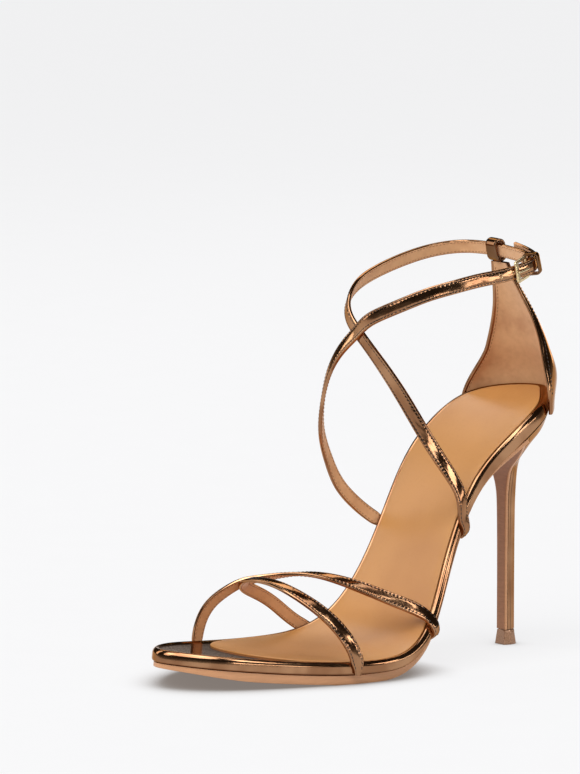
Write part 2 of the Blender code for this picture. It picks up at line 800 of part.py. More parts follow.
def combine(target, tool, operation):
    """A Boolean that stays on the target; its tool becomes a hidden guide."""
    tool.hide_render = True
    tool.display_type = "WIRE"
    change = target.modifiers.new(f"{operation.lower()} {tool.name}", "BOOLEAN")
    change.operation = operation
    change.solver = "EXACT"
    change.object = tool


def crossed_straps(name, over, under, finish):
    """Two straps sewn into one piece where they cross."""
    made = strap_solid(name, over, finish)
    combine(made, strap_solid(f"{name} lower", under, finish), "UNION")
    return made


def round_path(centre, wide, deep, half, depth, bend, steps=4):
    """The places and outward directions round a rectangle with round corners."""
    path = []
    for quarter, (sign_w, sign_d) in enumerate(((1, 1), (-1, 1), (-1, -1), (1, -1))):
        core = centre + wide * sign_w * (half - bend) + deep * sign_d * (depth - bend)
        for turn in np.linspace(0, math.pi / 2, steps) + quarter * math.pi / 2:
            out = wide * math.cos(turn) + deep * math.sin(turn)
            path.append((core + out * bend, out))
    return path


def ring_band(name, centre, axes, opening, band, thickness, finish):
    """A flat strip bent round into a loop with round corners."""
    wide, deep = axes
    long = np.cross(wide, deep)
    half, depth = ((size + thickness) / 2 for size in opening)
    rings = []
    for place, out in round_path(centre, wide, deep, half, depth, min(depth, thickness * BAND_BEND)):
        edge = long * band / 2
        skin = out * thickness / 2
        rings.append([place - edge - skin, place + edge - skin, place + edge + skin, place - edge + skin])
    return solid(name, rings, finish, closed=True)


def counter(finish, loop_low):
    """The tall back part that rises from the seat and leans in to the collar's loop."""
    wings = (RIM.side(COUNTER_WING_INNER, False), RIM.side(COUNTER_WING_OUTER, True))
    turns = np.linspace(*wings, COUNTER_STEPS + 1)
    drop = board_thickness(1.0) - FOOT_LIFT
    foot = RIM.offset(turns, -(GAP + COUNTER_WALL / 2), drop)
    back_foot = foot[COUNTER_STEPS // 2]
    height = loop_low - GAP - back_foot[2]
    names = COUNTER_COLUMNS[1:]
    shares = np.stack([column(COUNTER, COUNTER_COLUMNS, name) for name in names], -1)
    table = Smooth(column(COUNTER, COUNTER_COLUMNS, "rise"), shares)
    grid = []
    for rise in np.linspace(0, 1, COUNTER_ROWS + 1):
        lean, half, depth, shift = table(rise)
        angle = np.linspace(-math.pi / 2, math.pi / 2, COUNTER_STEPS + 1)
        x = (shift + half * np.sin(angle)) * COUNTER_HALF_WIDTH
        y = back_foot[1] - lean * COUNTER_LEAN - depth * COUNTER_HALF_WIDTH * (1 - np.cos(angle))
        settle = ease(rise, 0, 0.40)
        level = ease(rise, 0, 0.7)
        x = foot[:, 0] * (1 - settle) + x * settle
        y = foot[:, 1] * (1 - settle) + y * settle
        z = foot[:, 2] * (1 - level) + back_foot[2] * level + rise * height
        grid.append(np.stack([x, y, z], -1))
    grid = np.array(grid)
    run = np.gradient(grid, axis=1)
    climb = np.gradient(grid, axis=0)
    out = unit(np.cross(run, climb))
    out = out * np.sign(out[:, COUNTER_STEPS // 2, 1])[:, None, None]
    rings = []
    for row, face in zip(grid, out * COUNTER_WALL / 2):
        rings.append(list(row + face) + list((row - face)[::-1]))
    return solid("counter", rings, finish)


def buckle(finish, strap, at):
    """The frame: its front bar lies over the strap and its back bar under it."""
    half = BUCKLE_LENGTH / 2 - BUCKLE_BAR / 2
    over = STRAP_THICKNESS / 2 + STRAP_CROWN + GAP + BUCKLE_BAR / 2
    front, out, width = strap.frame(at - half)
    front = front + out * over
    back, out_back, _ = strap.frame(at + half)
    back = back - out_back * (over + SEAM_BITE)
    long = unit(front - back)
    width = unit(width - long * (width @ long))
    face = np.cross(long, width)
    reach = np.linalg.norm(front - back) / 2
    rise = (BUCKLE_HEIGHT - BUCKLE_BAR) / 2
    turns = np.linspace(0, 2 * math.pi, WIRE_SIDES + 1)[:-1]
    rings = []
    for place, aim in round_path((front + back) / 2, long, width, reach, rise, BUCKLE_BAR):
        ring = [aim * math.cos(turn) + face * math.sin(turn) for turn in turns]
        rings.append([place + point * BUCKLE_BAR / 2 for point in ring])
    solid("buckle", rings, finish, closed=True)
    return front, back, long, width, face


def prong(finish, frame, strap, at):
    """The prong: up through the strap's hole and along to rest on the front bar."""
    front, back, long, width, face = frame
    clear = (BUCKLE_BAR + PRONG_THICKNESS) / 2 + GAP
    on_strap = STRAP_THICKNESS / 2 + STRAP_CROWN + GAP + PRONG_THICKNESS / 2
    middle, out, _ = strap.frame(at)
    points = np.array([
        back + long * clear,
        middle - out * on_strap,
        middle + out * on_strap,
        front + face * clear,
        front + face * clear + long * PRONG_THICKNESS,
    ])
    lead = unit(np.diff(points, axis=0))
    lead = unit(np.concatenate([lead[:1], lead[:-1] + lead[1:], lead[-1:]]))
    rings = []
    for place, heading in zip(points, lead):
        up = np.cross(width, heading)
        ring = []
        for turn in np.linspace(0, 2 * math.pi, 9)[:-1]:
            ring.append(place + (width * math.cos(turn) + up * math.sin(turn)) * PRONG_THICKNESS / 2)
        rings.append(ring)
    solid("prong", rings, finish)


def main():
    """Build every piece."""
    clear_scene()
    bronze = material("bronze leather", (0.30, 0.16, 0.08), 0.2, 0.9)
    tan = material("tan leather", (0.65, 0.35, 0.15), 0.5, 0.0)
    sole_leather = material("sole leather", (0.55, 0.30, 0.15), 0.45, 0.0)
    brass = material("brass", (0.85, 0.65, 0.35), 0.15, 1.0)
    tip = material("tip", (0.30, 0.18, 0.10), 0.4, 0.3)
    form = Heel()
    insole(bronze)
    sock(tan)
    outsole(sole_leather, form)
    heel(bronze, form)
    top_piece(tip)

    over = Strap(TOE_STRAP, "toe", (TOE_STRAP_INNER, False), (TOE_STRAP_OUTER, True))
    under = Strap(BALL_STRAP, "toe", (BALL_STRAP_INNER, False), (BALL_STRAP_OUTER, True))
    crossed_straps("toe_straps", over, under, bronze)

    front = Strap(FRONT_STRAP, "ankle", (FRONT_STRAP_INNER, False))
    back = Strap(BACK_STRAP, "ankle", (BACK_STRAP_OUTER, True))
    ankle = crossed_straps("ankle_straps", front, back, bronze)

    held = front.nearest(front.points[2 + BUCKLE_POINT])
    frame = buckle(brass, front, held)
    prong_hole = held + BUCKLE_LENGTH / 2 - PRONG_HOLE_BACK
    for i in range(HOLE_COUNT):
        middle, out, width = front.frame(prong_hole - i * HOLE_PITCH)
        radius = HOLE_RADIUS if i else PRONG_HOLE_RADIUS
        combine(ankle, cylinder(f"hole {i}", middle, out, radius, 2 * STRAP_THICKNESS), "DIFFERENCE")
    prong(brass, frame, front, prong_hole)

    place, out, width = front.frame(held + BUCKLE_LENGTH / 2 + KEEPER_STEP)
    step = STRAP_THICKNESS + STRAP_CROWN + KEEPER_SLACK
    opening = (STRAP_WIDTH + 4 * KEEPER_SLACK, 2 * step + 2 * KEEPER_SLACK)
    ring_band("keeper", place - out * step / 2, (width, out), opening, KEEPER_BAND, KEEPER_THICKNESS, bronze)

    middle, out, width = back.frame(back.nearest(back.points[2 + LOOP_POINT]))
    opening = (STRAP_WIDTH + 2 * LOOP_SLACK, STRAP_THICKNESS + 2 * LOOP_SLACK)
    ring_band("counter_loop", middle, (width, out), opening, LOOP_BAND, LOOP_THICKNESS, bronze)
    loop_low = middle[2] - abs(width[2]) * (opening[0] / 2 + LOOP_THICKNESS)
    counter(bronze, loop_low)


main()
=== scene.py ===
"""Strappy heeled sandal for the left foot, dressed for its picture.

Metres, +Z up. The origin is the middle of the heel tip's flat underside, the toes
point to -Y and the outer side of the foot lies at +X. The routes and tables are those
of the CAD source, taken here at a finer pitch, so each piece lies on its CAD node.
"""

import math

import bmesh
import bpy
import numpy as np
from bpy.props import FloatProperty, FloatVectorProperty, PointerProperty
from mathutils import Matrix, Vector


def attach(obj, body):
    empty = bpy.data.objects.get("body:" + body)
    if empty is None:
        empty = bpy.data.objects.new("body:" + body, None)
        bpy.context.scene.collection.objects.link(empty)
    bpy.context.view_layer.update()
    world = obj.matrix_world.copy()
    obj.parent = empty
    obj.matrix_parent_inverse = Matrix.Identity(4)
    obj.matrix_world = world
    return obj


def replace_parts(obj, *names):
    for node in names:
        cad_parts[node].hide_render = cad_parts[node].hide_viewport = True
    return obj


bl_info = {
    "name": "Strappy Heeled Sandal",
    "version": (1, 0, 0),
    "blender": (4, 5, 0),
    "location": "3D View > Sidebar > Sandal",
    "description": "Builds the straps, footbed, heel, counter and buckle of a strappy sandal",
    "category": "Add Mesh",
}

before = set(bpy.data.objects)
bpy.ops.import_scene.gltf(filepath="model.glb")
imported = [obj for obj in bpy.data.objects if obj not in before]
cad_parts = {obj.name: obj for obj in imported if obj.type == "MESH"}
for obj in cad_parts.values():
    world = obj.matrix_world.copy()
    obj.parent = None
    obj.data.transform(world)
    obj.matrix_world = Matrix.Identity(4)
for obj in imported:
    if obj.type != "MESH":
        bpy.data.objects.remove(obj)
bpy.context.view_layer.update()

MM = 0.001

# The sizes of the CAD source
FOOTBED_LENGTH = 202 * MM
BALL_WIDTH = 80 * MM
SEAT_HEIGHT = 110 * MM
HEEL_OVERHANG = 20 * MM
TOE_SPRING = 6.9 * MM
BOARD_FORE = 5.0 * MM
BOARD_WAIST = 3.6 * MM
BOARD_SEAT = 6.0 * MM
BOARD_TOP_ROUND = 1.5 * MM
BOARD_LOW_ROUND = 1.1 * MM
SEAT_DISH = 1.2 * MM
SOCK_MARGIN = 2.6 * MM
SOCK_MARGIN_BACK = 3.6 * MM
OUTSOLE_TOE = 1.8 * MM
OUTSOLE_FORE = 3.8 * MM
OUTSOLE_WAIST = 1.8 * MM
OUTSOLE_MARGIN = 1.0 * MM
OUTSOLE_MARGIN_WAIST = 3.0 * MM
BREAST_FLAP = 1.2 * MM
TREAD_FLAT = 0.25 * MM
HEEL_MARGIN = 0.6 * MM
STEM_HALF_WIDTH = 2.9 * MM
STEM_FRONT = -1.2 * MM
STEM_BACK = 4.2 * MM
TIP_HEIGHT = 6.2 * MM
TIP_HALF_WIDTH = 3.9 * MM
TIP_LENGTH = 7.9 * MM
TIP_TAPER = 0.8
COUNTER_HALF_WIDTH = 27 * MM
COUNTER_LEAN = 21.5 * MM
COUNTER_WALL = 1.6 * MM
TOE_STRAP_RISE = 30 * MM
COLLAR_RISE = 60 * MM
COLLAR_HALF_WIDTH = 31 * MM
COLLAR_DEPTH = 78 * MM
STRAP_WIDTH = 5.8 * MM
STRAP_THICKNESS = 1.5 * MM
STRAP_CROWN = 0.15 * MM
LOOP_BAND = 7.0 * MM
LOOP_THICKNESS = 1.2 * MM
LOOP_SLACK = 0.9 * MM
BUCKLE_LENGTH = 12.4 * MM
BUCKLE_HEIGHT = 9.4 * MM
BUCKLE_BAR = 1.3 * MM
PRONG_THICKNESS = 1.0 * MM
KEEPER_BAND = 3.0 * MM
KEEPER_THICKNESS = 1.0 * MM
KEEPER_SLACK = 0.45 * MM
KEEPER_STEP = 3.0 * MM
HOLE_RADIUS = 0.8 * MM
HOLE_COUNT = 3
HOLE_PITCH = 8.0 * MM
PRONG_HOLE_RADIUS = 1.2 * MM
PRONG_HOLE_BACK = 4.2 * MM
SOCK_EDGE = 0.3 * MM
OUTSOLE_EDGE = 0.4 * MM
GAP = 0.3 * MM
FOOT_LIFT = 0.1 * MM
SEAM_BITE = 0.2 * MM
WELD = 0.001 * MM
WALL_TOP = 0.25
BAND_BEND = 1.2

SOCK_FRONT = 0.175
SOCK_FULL = 0.31
SOCK_ROUND = 2.3
LIP_ALONG = 0.83
LIP_CLEAR = 0.012
COUNTER_WING_INNER = 0.885
COUNTER_WING_OUTER = 0.915
TREAD = OUTSOLE_FORE + GAP + BOARD_FORE
COLLAR_BACK = HEEL_OVERHANG + GAP + COUNTER_WALL / 2 - COUNTER_LEAN

# How finely the pieces are divided here
STATIONS = 132
STATION_CROWD = 0.45
FILL = np.linspace(0, 1, 12)[1:-1]
ROUND_STEPS = 6
SOCK_FRONT_ROWS = 0.27 * np.linspace(0, 1, 16) ** 2
HEEL_ROWS = 65
HEEL_SIDES = 56
HEEL_LIP_ROWS = 12
FLAP_SHARE = 0.375
COUNTER_ROWS = 60
COUNTER_STEPS = 120
STRAP_PITCH = 0.8 * MM
FOOT_HOLD = 2.5 * MM
TUCK_REACH = 3 * MM
TUCK_SHARE = 0.5
FOOT_REACH = 10 * MM
RIM_ROLL = 0.55 * MM
SOCK_LOW = 0.05 * MM
SOCK_SHOWN = 0.55 * MM
SOCK_JOIN = 0.004
CALM_PATH = 1.6 * MM
CALM_FACE = 7.0 * MM
AHEAD = 0.5 * MM
CORE_POINTS = 60
CORE_PULL = 4.0
SEARCH_POINTS = 1500
FOLD_STEPS = 5
LOOP_BEND = 2.2
HEEL_SEAM = 1.5 * MM
COUNTER_SEAM = 1.6 * MM
COUNTER_RIM = MM * np.array((0, 0.25, 0.5, 0.75, 1.25, 1.6, 1.95, 2.4))
COUNTER_SPAN = 50
COUNTER_FOLD = 3
COUNTER_END_STEPS = 7
COUNTER_END_BULGE = 0.45 * COUNTER_WALL
TIP_EASE = 0.18 * MM
EYELET_FLAT = 0.6
PLATE_THICKNESS = 0.8 * BUCKLE_BAR
PLATE_EASE = 0.22 * BUCKLE_BAR
PRONG_POINTS = 60
PRONG_PASSES = 8
PRONG_SIDES = 16
PRONG_FLAT = 0.9
PRONG_TAPER = 0.25
PRONG_END_ROWS = 3
SMOOTH_ANGLE = 40

OUTLINE_COLUMNS = ("along", "inner", "outer")
OUTLINE = (
    (0.00, -0.090, -0.090),
    (0.03, -0.235, 0.062),
    (0.08, -0.345, 0.180),
    (0.15, -0.437, 0.274),
    (0.22, -0.475, 0.349),
    (0.30, -0.500, 0.421),
    (0.38, -0.500, 0.482),
    (0.46, -0.459, 0.504),
    (0.54, -0.380, 0.450),
    (0.62, -0.320, 0.352),
    (0.70, -0.334, 0.306),
    (0.78, -0.364, 0.327),
    (0.86, -0.359, 0.333),
    (0.92, -0.312, 0.262),
    (0.97, -0.202, 0.138),
    (1.00, 0.000, 0.000),
)

PROFILE_COLUMNS = ("along", "spring", "climb")
PROFILE = (
    (0.00, 1.00, 0.000),
    (0.08, 0.70, 0.000),
    (0.16, 0.42, 0.000),
    (0.24, 0.18, 0.000),
    (0.32, 0.01, 0.000),
    (0.40, -0.02, 0.000),
    (0.48, 0.00, 0.024),
    (0.56, 0.00, 0.142),
    (0.64, 0.00, 0.405),
    (0.72, 0.00, 0.672),
    (0.80, 0.00, 0.833),
    (0.88, 0.00, 0.937),
    (1.00, 0.00, 1.000),
)

# Each row: reach and rise of the breast, half width, retreat and climb of the back, pinch
HEEL = (
    (0.000, 0.000, 0.00, 0.000, 0.000, 1.0),
    (0.000, 0.350, 0.00, 0.000, 0.254, 1.0),
    (0.005, 0.600, 0.01, 0.005, 0.487, 1.0),
    (0.020, 0.700, 0.03, 0.010, 0.583, 1.0),
    (0.055, 0.762, 0.08, 0.025, 0.668, 1.05),
    (0.110, 0.800, 0.14, 0.055, 0.727, 1.1),
    (0.190, 0.833, 0.25, 0.110, 0.787, 1.15),
    (0.310, 0.868, 0.42, 0.200, 0.853, 1.2),
    (0.500, 0.912, 0.64, 0.350, 0.907, 1.15),
    (0.740, 0.958, 0.84, 0.580, 0.953, 1.05),
)

TIP_COLUMNS = ("half", "back")
TIP = (
    (0.80, -0.42),
    (1.00, 0.00),
    (0.87, 0.37),
    (0.40, 0.58),
)

COUNTER_COLUMNS = ("rise", "lean", "half", "depth", "shift")
COUNTER = (
    (0.00, 0.000, 1.00, 0.80, 0.00),
    (0.10, 0.000, 0.90, 0.74, 0.00),
    (0.28, 0.180, 0.76, 0.53, 0.00),
    (0.52, 0.470, 0.57, 0.27, 0.00),
    (0.69, 0.680, 0.41, 0.16, -0.02),
    (0.90, 0.930, 0.24, 0.06, -0.10),
    (1.00, 1.000, 0.18, 0.03, -0.15),
)

TOE_COLUMNS = ("across", "along", "rise", "layer")
TOE_STRAP = (
    (-0.460, 0.232, 0.43, 0),
    (-0.430, 0.244, 0.60, 0),
    (-0.385, 0.262, 0.745, 0),
    (-0.310, 0.291, 0.885, 1),
    (-0.225, 0.318, 0.975, 0),
    (-0.130, 0.348, 1.03, 0),
    (-0.030, 0.383, 1.045, 0),
    (0.080, 0.424, 0.97, 0),
    (0.200, 0.467, 0.83, 0),
    (0.310, 0.508, 0.68, 0),
    (0.400, 0.540, 0.54, 0),
)
TOE_STRAP_INNER = (0.224, 0.224)
TOE_STRAP_OUTER = (0.550, 0.547)

BALL_STRAP = (
    (-0.450, 0.412, 0.48, 0),
    (-0.412, 0.352, 0.69, 0),
    (-0.310, 0.291, 0.885, -1),
    (-0.215, 0.271, 0.975, 0),
    (-0.100, 0.261, 1.03, 0),
    (0.040, 0.260, 1.03, 0),
    (0.170, 0.267, 0.95, 0),
    (0.280, 0.282, 0.81, 0),
    (0.370, 0.302, 0.62, 0),
    (0.438, 0.324, 0.36, 0),
)
BALL_STRAP_INNER = (0.492, 0.500)
BALL_STRAP_OUTER = (0.346, 0.346)

ANKLE_COLUMNS = ("across", "forward", "rise", "layer")
FRONT_STRAP = (
    (-0.919, 0.678, -0.860, 0),
    (-0.968, 0.756, -0.772, 0),
    (-1.010, 0.847, -0.637, 0),
    (-1.030, 0.912, -0.463, 0),
    (-0.990, 0.975, -0.250, 0),
    (-0.903, 0.995, -0.023, 0),
    (-0.740, 0.998, 0.200, 0),
    (-0.500, 0.990, 0.370, 0),
    (-0.226, 0.975, 0.490, 1),
    (0.032, 0.990, 0.587, 0),
    (0.320, 0.968, 0.662, 0),
    (0.600, 0.915, 0.732, 0),
    (0.820, 0.825, 0.798, 0),
    (0.970, 0.690, 0.846, 0),
    (1.030, 0.530, 0.880, 0),
    (1.034, 0.400, 0.893, 0),
    (1.016, 0.290, 0.908, 0),
    (1.000, 0.220, 0.921, 0),
    (0.915, 0.110, 0.950, 0),
    (0.755, 0.048, 0.966, 0),
    (0.560, 0.008, 0.976, 0),
    (0.350, -0.016, 0.988, 0),
    (0.120, -0.024, 1.004, 0),
)
FRONT_STRAP_INNER = (0.655, 0.655)
BUCKLE_POINT = 17

BACK_STRAP = (
    (0.823, 0.592, -0.650, 0),
    (0.774, 0.618, -0.550, 0),
    (0.677, 0.663, -0.428, 0),
    (0.548, 0.735, -0.250, 0),
    (0.290, 0.814, 0.025, 0),
    (0.040, 0.880, 0.250, 0),
    (-0.226, 0.975, 0.490, -1),
    (-0.420, 0.968, 0.590, 0),
    (-0.590, 0.920, 0.690, 0),
    (-0.720, 0.830, 0.770, 0),
    (-0.860, 0.690, 0.830, 0),
    (-0.950, 0.500, 0.890, 0),
    (-0.975, 0.320, 0.938, 0),
    (-0.950, 0.160, 0.967, 0),
    (-0.830, 0.048, 0.980, 0),
    (-0.550, 0.006, 0.985, 0),
    (-0.200, 0.006, 0.985, 0),
    (0.100, 0.018, 0.981, 0),
    (0.340, 0.022, 0.976, -1),
    (0.560, 0.022, 0.970, -2.6),
    (0.755, 0.056, 0.960, -3),
    (0.915, 0.114, 0.948, -3),
)
BACK_STRAP_OUTER = (0.671, 0.667)
LOOP_POINT = 16

TOE_CORE = (
    (-0.03, 0.10, 0.20, 0),
    (-0.02, 0.25, 0.35, 0),
    (0.00, 0.40, 0.40, 0),
    (0.00, 0.55, 0.70, 0),
)
ANKLE_CORE = (
    (0.00, 1.03, -1.17, 0),
    (0.00, 0.67, -0.58, 0),
    (0.00, 0.54, -0.08, 0),
    (0.00, 0.49, 0.50, 0),
    (0.00, 0.475, 1.10, 0),
)

# The camera: its angle in degrees, its pull in pixels, its distance, the origin's pixel
VIEW_TURN = 51.2
VIEW_RISE = 8.0
VIEW_PULL = 7380
VIEW_DISTANCE = 3.155
PHOTO_WIDTH = 580
PHOTO_HEIGHT = 774
ORIGIN_PIXEL = (505.5, 643.2)
SENSOR = 36
CLIP = (0.1, 100)

# The studio: its floor, the room's dark tones by height, the sun and the panels, each with
# its turn and rise in degrees, its distance, its width and height, and its radiance
FLOOR_SIZE = 24
# The contact shadow painted into the floor's glow: how far it reaches and its colour
CONTACT_REACH = 22 * MM
CONTACT_SHADE = (0.24, 0.21, 0.19)
ROOM_TONES = (
    (0.02, (0.17, 0.165, 0.16, 1)),
    (0.14, (0.03, 0.027, 0.025, 1)),
)
LIGHT_TARGET = Vector((0, -0.07, 0.07))
SUN_POWER = 2.0
SUN_SPREAD = 50
SUN_AIM = (20, 56)
PANELS = (
    ("front", 352, 34, 1.6, 0.55, 1.1, 3.4),
    ("strip", 128, 7, 1.8, 1.3, 0.13, 4.8),
    ("top", 40, 84, 1.5, 0.8, 0.8, 2.6),
    ("back", 236, 44, 1.7, 1.3, 0.6, 2.6),
    ("left", 300, 24, 1.6, 0.4, 1.2, 3.0),
    ("right", 84, 46, 1.6, 0.30, 0.7, 5.0),
    ("side", 112, 19, 1.6, 0.45, 0.25, 5.5),
    ("low", 78, 4, 1.6, 0.6, 0.14, 5.0),
    ("edge", 204, 9, 1.7, 0.6, 0.5, 3.0),
)

# Small folds across the straps: distance from the buckle, depth and length of each
BUCKLE_FOLDS = (
    (-9.5 * MM, 0.10 * MM, 1.3 * MM),
    (7.4 * MM, 0.16 * MM, 0.8 * MM),
    (9.6 * MM, 0.20 * MM, 0.9 * MM),
    (12.2 * MM, 0.14 * MM, 1.0 * MM),
)


def size_property(name, description, millimetres):
    """A length that a user can change."""
    return FloatProperty(
        name=name, description=description, default=millimetres * MM,
        unit="LENGTH", precision=5)


class SandalSizes(bpy.types.PropertyGroup):
    """The sizes of the sewing and the metalwork."""

    stitch_pitch: size_property("Stitch pitch", "Distance from one stitch to the next", 1.7)
    stitch_length: size_property("Stitch length", "Length of the thread seen in each stitch", 1.15)
    thread_width: size_property("Thread width", "Thickness of the thread", 0.42)
    stitch_inset: size_property("Stitch inset", "How far the seam lies in from an edge", 0.95)
    edge_fold: size_property("Edge fold", "Radius of a strap's folded edge", 0.45)
    groove_depth: size_property("Groove depth", "How far the seam sinks into the leather", 0.08)
    eyelet_radius: size_property("Eyelet radius", "Radius of the metal ring round a hole", 0.92)
    eyelet_wire: size_property("Eyelet wire", "Thickness of the metal ring round a hole", 0.26)
    front_bar: size_property("Front bar", "Width of the buckle's flat front bar", 2.8)


def colour_of(code):
    """A linear colour from a six-digit code."""
    shares = [int(code[i:i + 2], 16) / 255 for i in (0, 2, 4)]
    return tuple(s / 12.92 if s <= 0.04045 else ((s + 0.055) / 1.055) ** 2.4 for s in shares)


def colour_property(name, description, code):
    """A colour that a user can change."""
    return FloatVectorProperty(
        name=name, description=description, default=colour_of(code),
        size=3, min=0, max=1, subtype="COLOR")


class SandalColours(bpy.types.PropertyGroup):
    """The colours of the leathers, the thread and the metal."""

    bronze: colour_property("Bronze", "Mirror leather where it is lightest", "b08562")
    bronze_deep: colour_property("Deep bronze", "Mirror leather where it is darkest", "926748")
    bronze_edge: colour_property(
        "Bronze edge", "Tint of the mirror leather seen at a slant", "e2c0a2")
    lining: colour_property("Lining", "Lining of the straps and the counter", "d8a677")
    lining_worn: colour_property("Lining shade", "Smudges on the lining", "bb8459")
    sock: colour_property("Sock", "Leather under the foot", "bd8549")
    sock_deep: colour_property(
        "Sock shade", "Leather under the foot in its darker patches", "ae763d")
    # The sole face is the sole leather made darker: painted shade for the breast flap under the
    # arch
    sole_edge: colour_property("Sole edge", "Cut edge of the outsole", "cf966a")
    sole_shaded_face: colour_property("Sole face", "Underside of the outsole", "a8714a")
    thread: colour_property("Thread", "Thread on the bronze side", "2c1a10")
    lining_thread: colour_property("Lining thread", "Thread on the lining side", "b07c50")
    brass: colour_property("Gilt", "Plated metal of the buckle", "efd6a4")
    tip: colour_property("Tip", "Hard tip of the heel", "ad8161")
    floor: colour_property("Floor", "Studio floor", "f4f4f5")


def unit(vectors):
    """The same directions with length one."""
    vectors = np.asarray(vectors, float)
    return vectors / np.linalg.norm(vectors, axis=-1, keepdims=True)


def run_along(points):
    """The distance along a line of points, from its first point to each."""
    return np.concatenate([[0], np.cumsum(np.linalg.norm(np.diff(points, axis=0), axis=1))])


def points_at(at, run, points):
    """Points at distances along a line of points."""
    return np.stack([np.interp(at, run, part) for part in points.T], -1)


def column(table, names, name):
    """One named column of a table."""
    return np.array([row[names.index(name)] for row in table], float)


class Smooth:
    """A cubic curve through values at knots, smooth to its second derivative."""

    def __init__(self, knots, values, closed=False):
        self.knots = np.asarray(knots, float)
        self.values = np.asarray(values, float)
        self.closed = closed
        count = len(self.knots)
        step = np.diff(self.knots)
        slope = (np.diff(self.values, axis=0).T / step).T
        system = np.eye(count)
        right = np.zeros_like(self.values)
        for i in range(1, count - 1):
            system[i, i - 1:i + 2] = step[i - 1], 2 * (step[i - 1] + step[i]), step[i]
            right[i] = 6 * (slope[i] - slope[i - 1])
        if closed:
            system[0, 0] = system[-1, -1] = 0
            system[0, :2] = 2 * step[0], step[0]
            system[0, -2:] += step[-1], 2 * step[-1]
            right[0] = 6 * (slope[0] - slope[-1])
            system[-1, 0] = 1
            system[-1, -1] = -1
        self.bend = np.linalg.solve(system, right)

    def __call__(self, at):
        """The curve's value at one place or at many."""
        at = np.asarray(at, float)
        if self.closed:
            span = self.knots[-1] - self.knots[0]
            at = self.knots[0] + np.mod(at - self.knots[0], span)
        i = np.clip(np.searchsorted(self.knots, at, side="right") - 1, 0, len(self.knots) - 2)
        step = self.knots[i + 1] - self.knots[i]
        after = at - self.knots[i]
        before = self.knots[i + 1] - at
        if self.values.ndim > 1:
            step, after, before = step[..., None], after[..., None], before[..., None]
        cubic = (self.bend[i] * before**3 + self.bend[i + 1] * after**3) / (6 * step)
        low = (self.values[i] / step - self.bend[i] * step / 6) * before
        high = (self.values[i + 1] / step - self.bend[i + 1] * step / 6) * after
        return cubic + low + high


def ease(value, low, high):
    """Zero below low, one above high and a soft step between."""
    share = np.clip((value - low) / (high - low), 0, 1)
    return share * share * (3 - 2 * share)


class Footbed:
    """The rim of the footbed and the surface that it bounds."""

    def __init__(self):
        along = column(OUTLINE, OUTLINE_COLUMNS, "along")
        inner = column(OUTLINE, OUTLINE_COLUMNS, "inner")
        outer = column(OUTLINE, OUTLINE_COLUMNS, "outer")
        turn = np.arccos(1 - 2 * along)
        turns = np.concatenate([turn, 2 * math.pi - turn[-2::-1]])
        self.across = Smooth(turns, np.concatenate([inner, outer[-2::-1]]) * BALL_WIDTH, True)
        spring = column(PROFILE, PROFILE_COLUMNS, "spring") * TOE_SPRING
        climb = column(PROFILE, PROFILE_COLUMNS, "climb") * (SEAT_HEIGHT - TREAD)
        self.level = Smooth(column(PROFILE, PROFILE_COLUMNS, "along"), TREAD + spring + climb)

    def point(self, turn):
        """A point of the rim: turn runs from the toe by the inner side to the heel and back."""
        along = (1 - np.cos(turn)) / 2
        y = HEEL_OVERHANG - FOOTBED_LENGTH * (1 - along)
        return np.stack([self.across(turn), y, self.level(along)], -1)

    def upward(self, along):
        """The surface's upward normal at a station."""
        nudge = 0.002
        low = np.clip(along - nudge, 0, 1)
        high = np.clip(along + nudge, 0, 1)
        rise = self.level(high) - self.level(low)
        run = (high - low) * FOOTBED_LENGTH
        return unit(np.stack([np.zeros_like(rise), -rise, run], -1))

    def inward(self, turn):
        """The direction in the surface from the rim to the inside."""
        nudge = 0.01
        path = self.point(turn + nudge) - self.point(turn - nudge)
        return unit(np.cross(path, self.upward((1 - np.cos(turn)) / 2)))

    def offset(self, turn, inset, drop):
        """A point set in from the rim and down from the surface."""
        turn = np.asarray(turn, float)
        up = self.upward((1 - np.cos(turn)) / 2)
        return self.point(turn) + self.inward(turn) * inset - up * np.asarray(drop)[..., None]

    def side(self, along, outer):
        """The turn at a station on the outer or the inner side."""
        turn = np.arccos(1 - 2 * np.asarray(along, float))
        return 2 * math.pi - turn if outer else turn


RIM = Footbed()


def rim_turns():
    """The stations of the footbed, closest at its ends and where it bends most."""
    share = np.linspace(0, 1, STATIONS + 1)
    return math.pi * (share - STATION_CROWD * np.sin(4 * math.pi * share) / (4 * math.pi))


def board_thickness(along):
    """The wrapped board, thinnest in the waist and thickest under the heel."""
    fore = BOARD_FORE + (BOARD_WAIST - BOARD_FORE) * ease(along, 0.42, 0.58)
    return fore + (BOARD_SEAT - BOARD_WAIST) * ease(along, 0.64, 0.80)


def outsole_thickness(along):
    """The outsole, thinner at the toe's tip and through the waist than under the ball."""
    fore = OUTSOLE_TOE + (OUTSOLE_FORE - OUTSOLE_TOE) * ease(along, -0.03, 0.15)
    return fore + (OUTSOLE_WAIST - OUTSOLE_FORE) * ease(along, 0.42, 0.62)


def outsole_margin(along):
    """How far the outsole lies in from the rim, more in the waist than at the toes."""
    waist = OUTSOLE_MARGIN + (OUTSOLE_MARGIN_WAIST - OUTSOLE_MARGIN) * ease(along, 0.30, 0.46)
    return waist + (HEEL_MARGIN - OUTSOLE_MARGIN_WAIST) * ease(along, 0.72, LIP_ALONG)


def sock_margin(along):
    """How far the sock lies in from the rim, more behind the heel."""
    return SOCK_MARGIN + (SOCK_MARGIN_BACK - SOCK_MARGIN) * ease(along, 0.88, 0.98)


def corner(radius):
    """Inset and drop along a quarter round that turns from a face into the wall."""
    angles = np.linspace(0, math.pi / 2, ROUND_STEPS)
    return [(radius * (1 - math.sin(a)), radius * (1 - math.cos(a))) for a in angles]


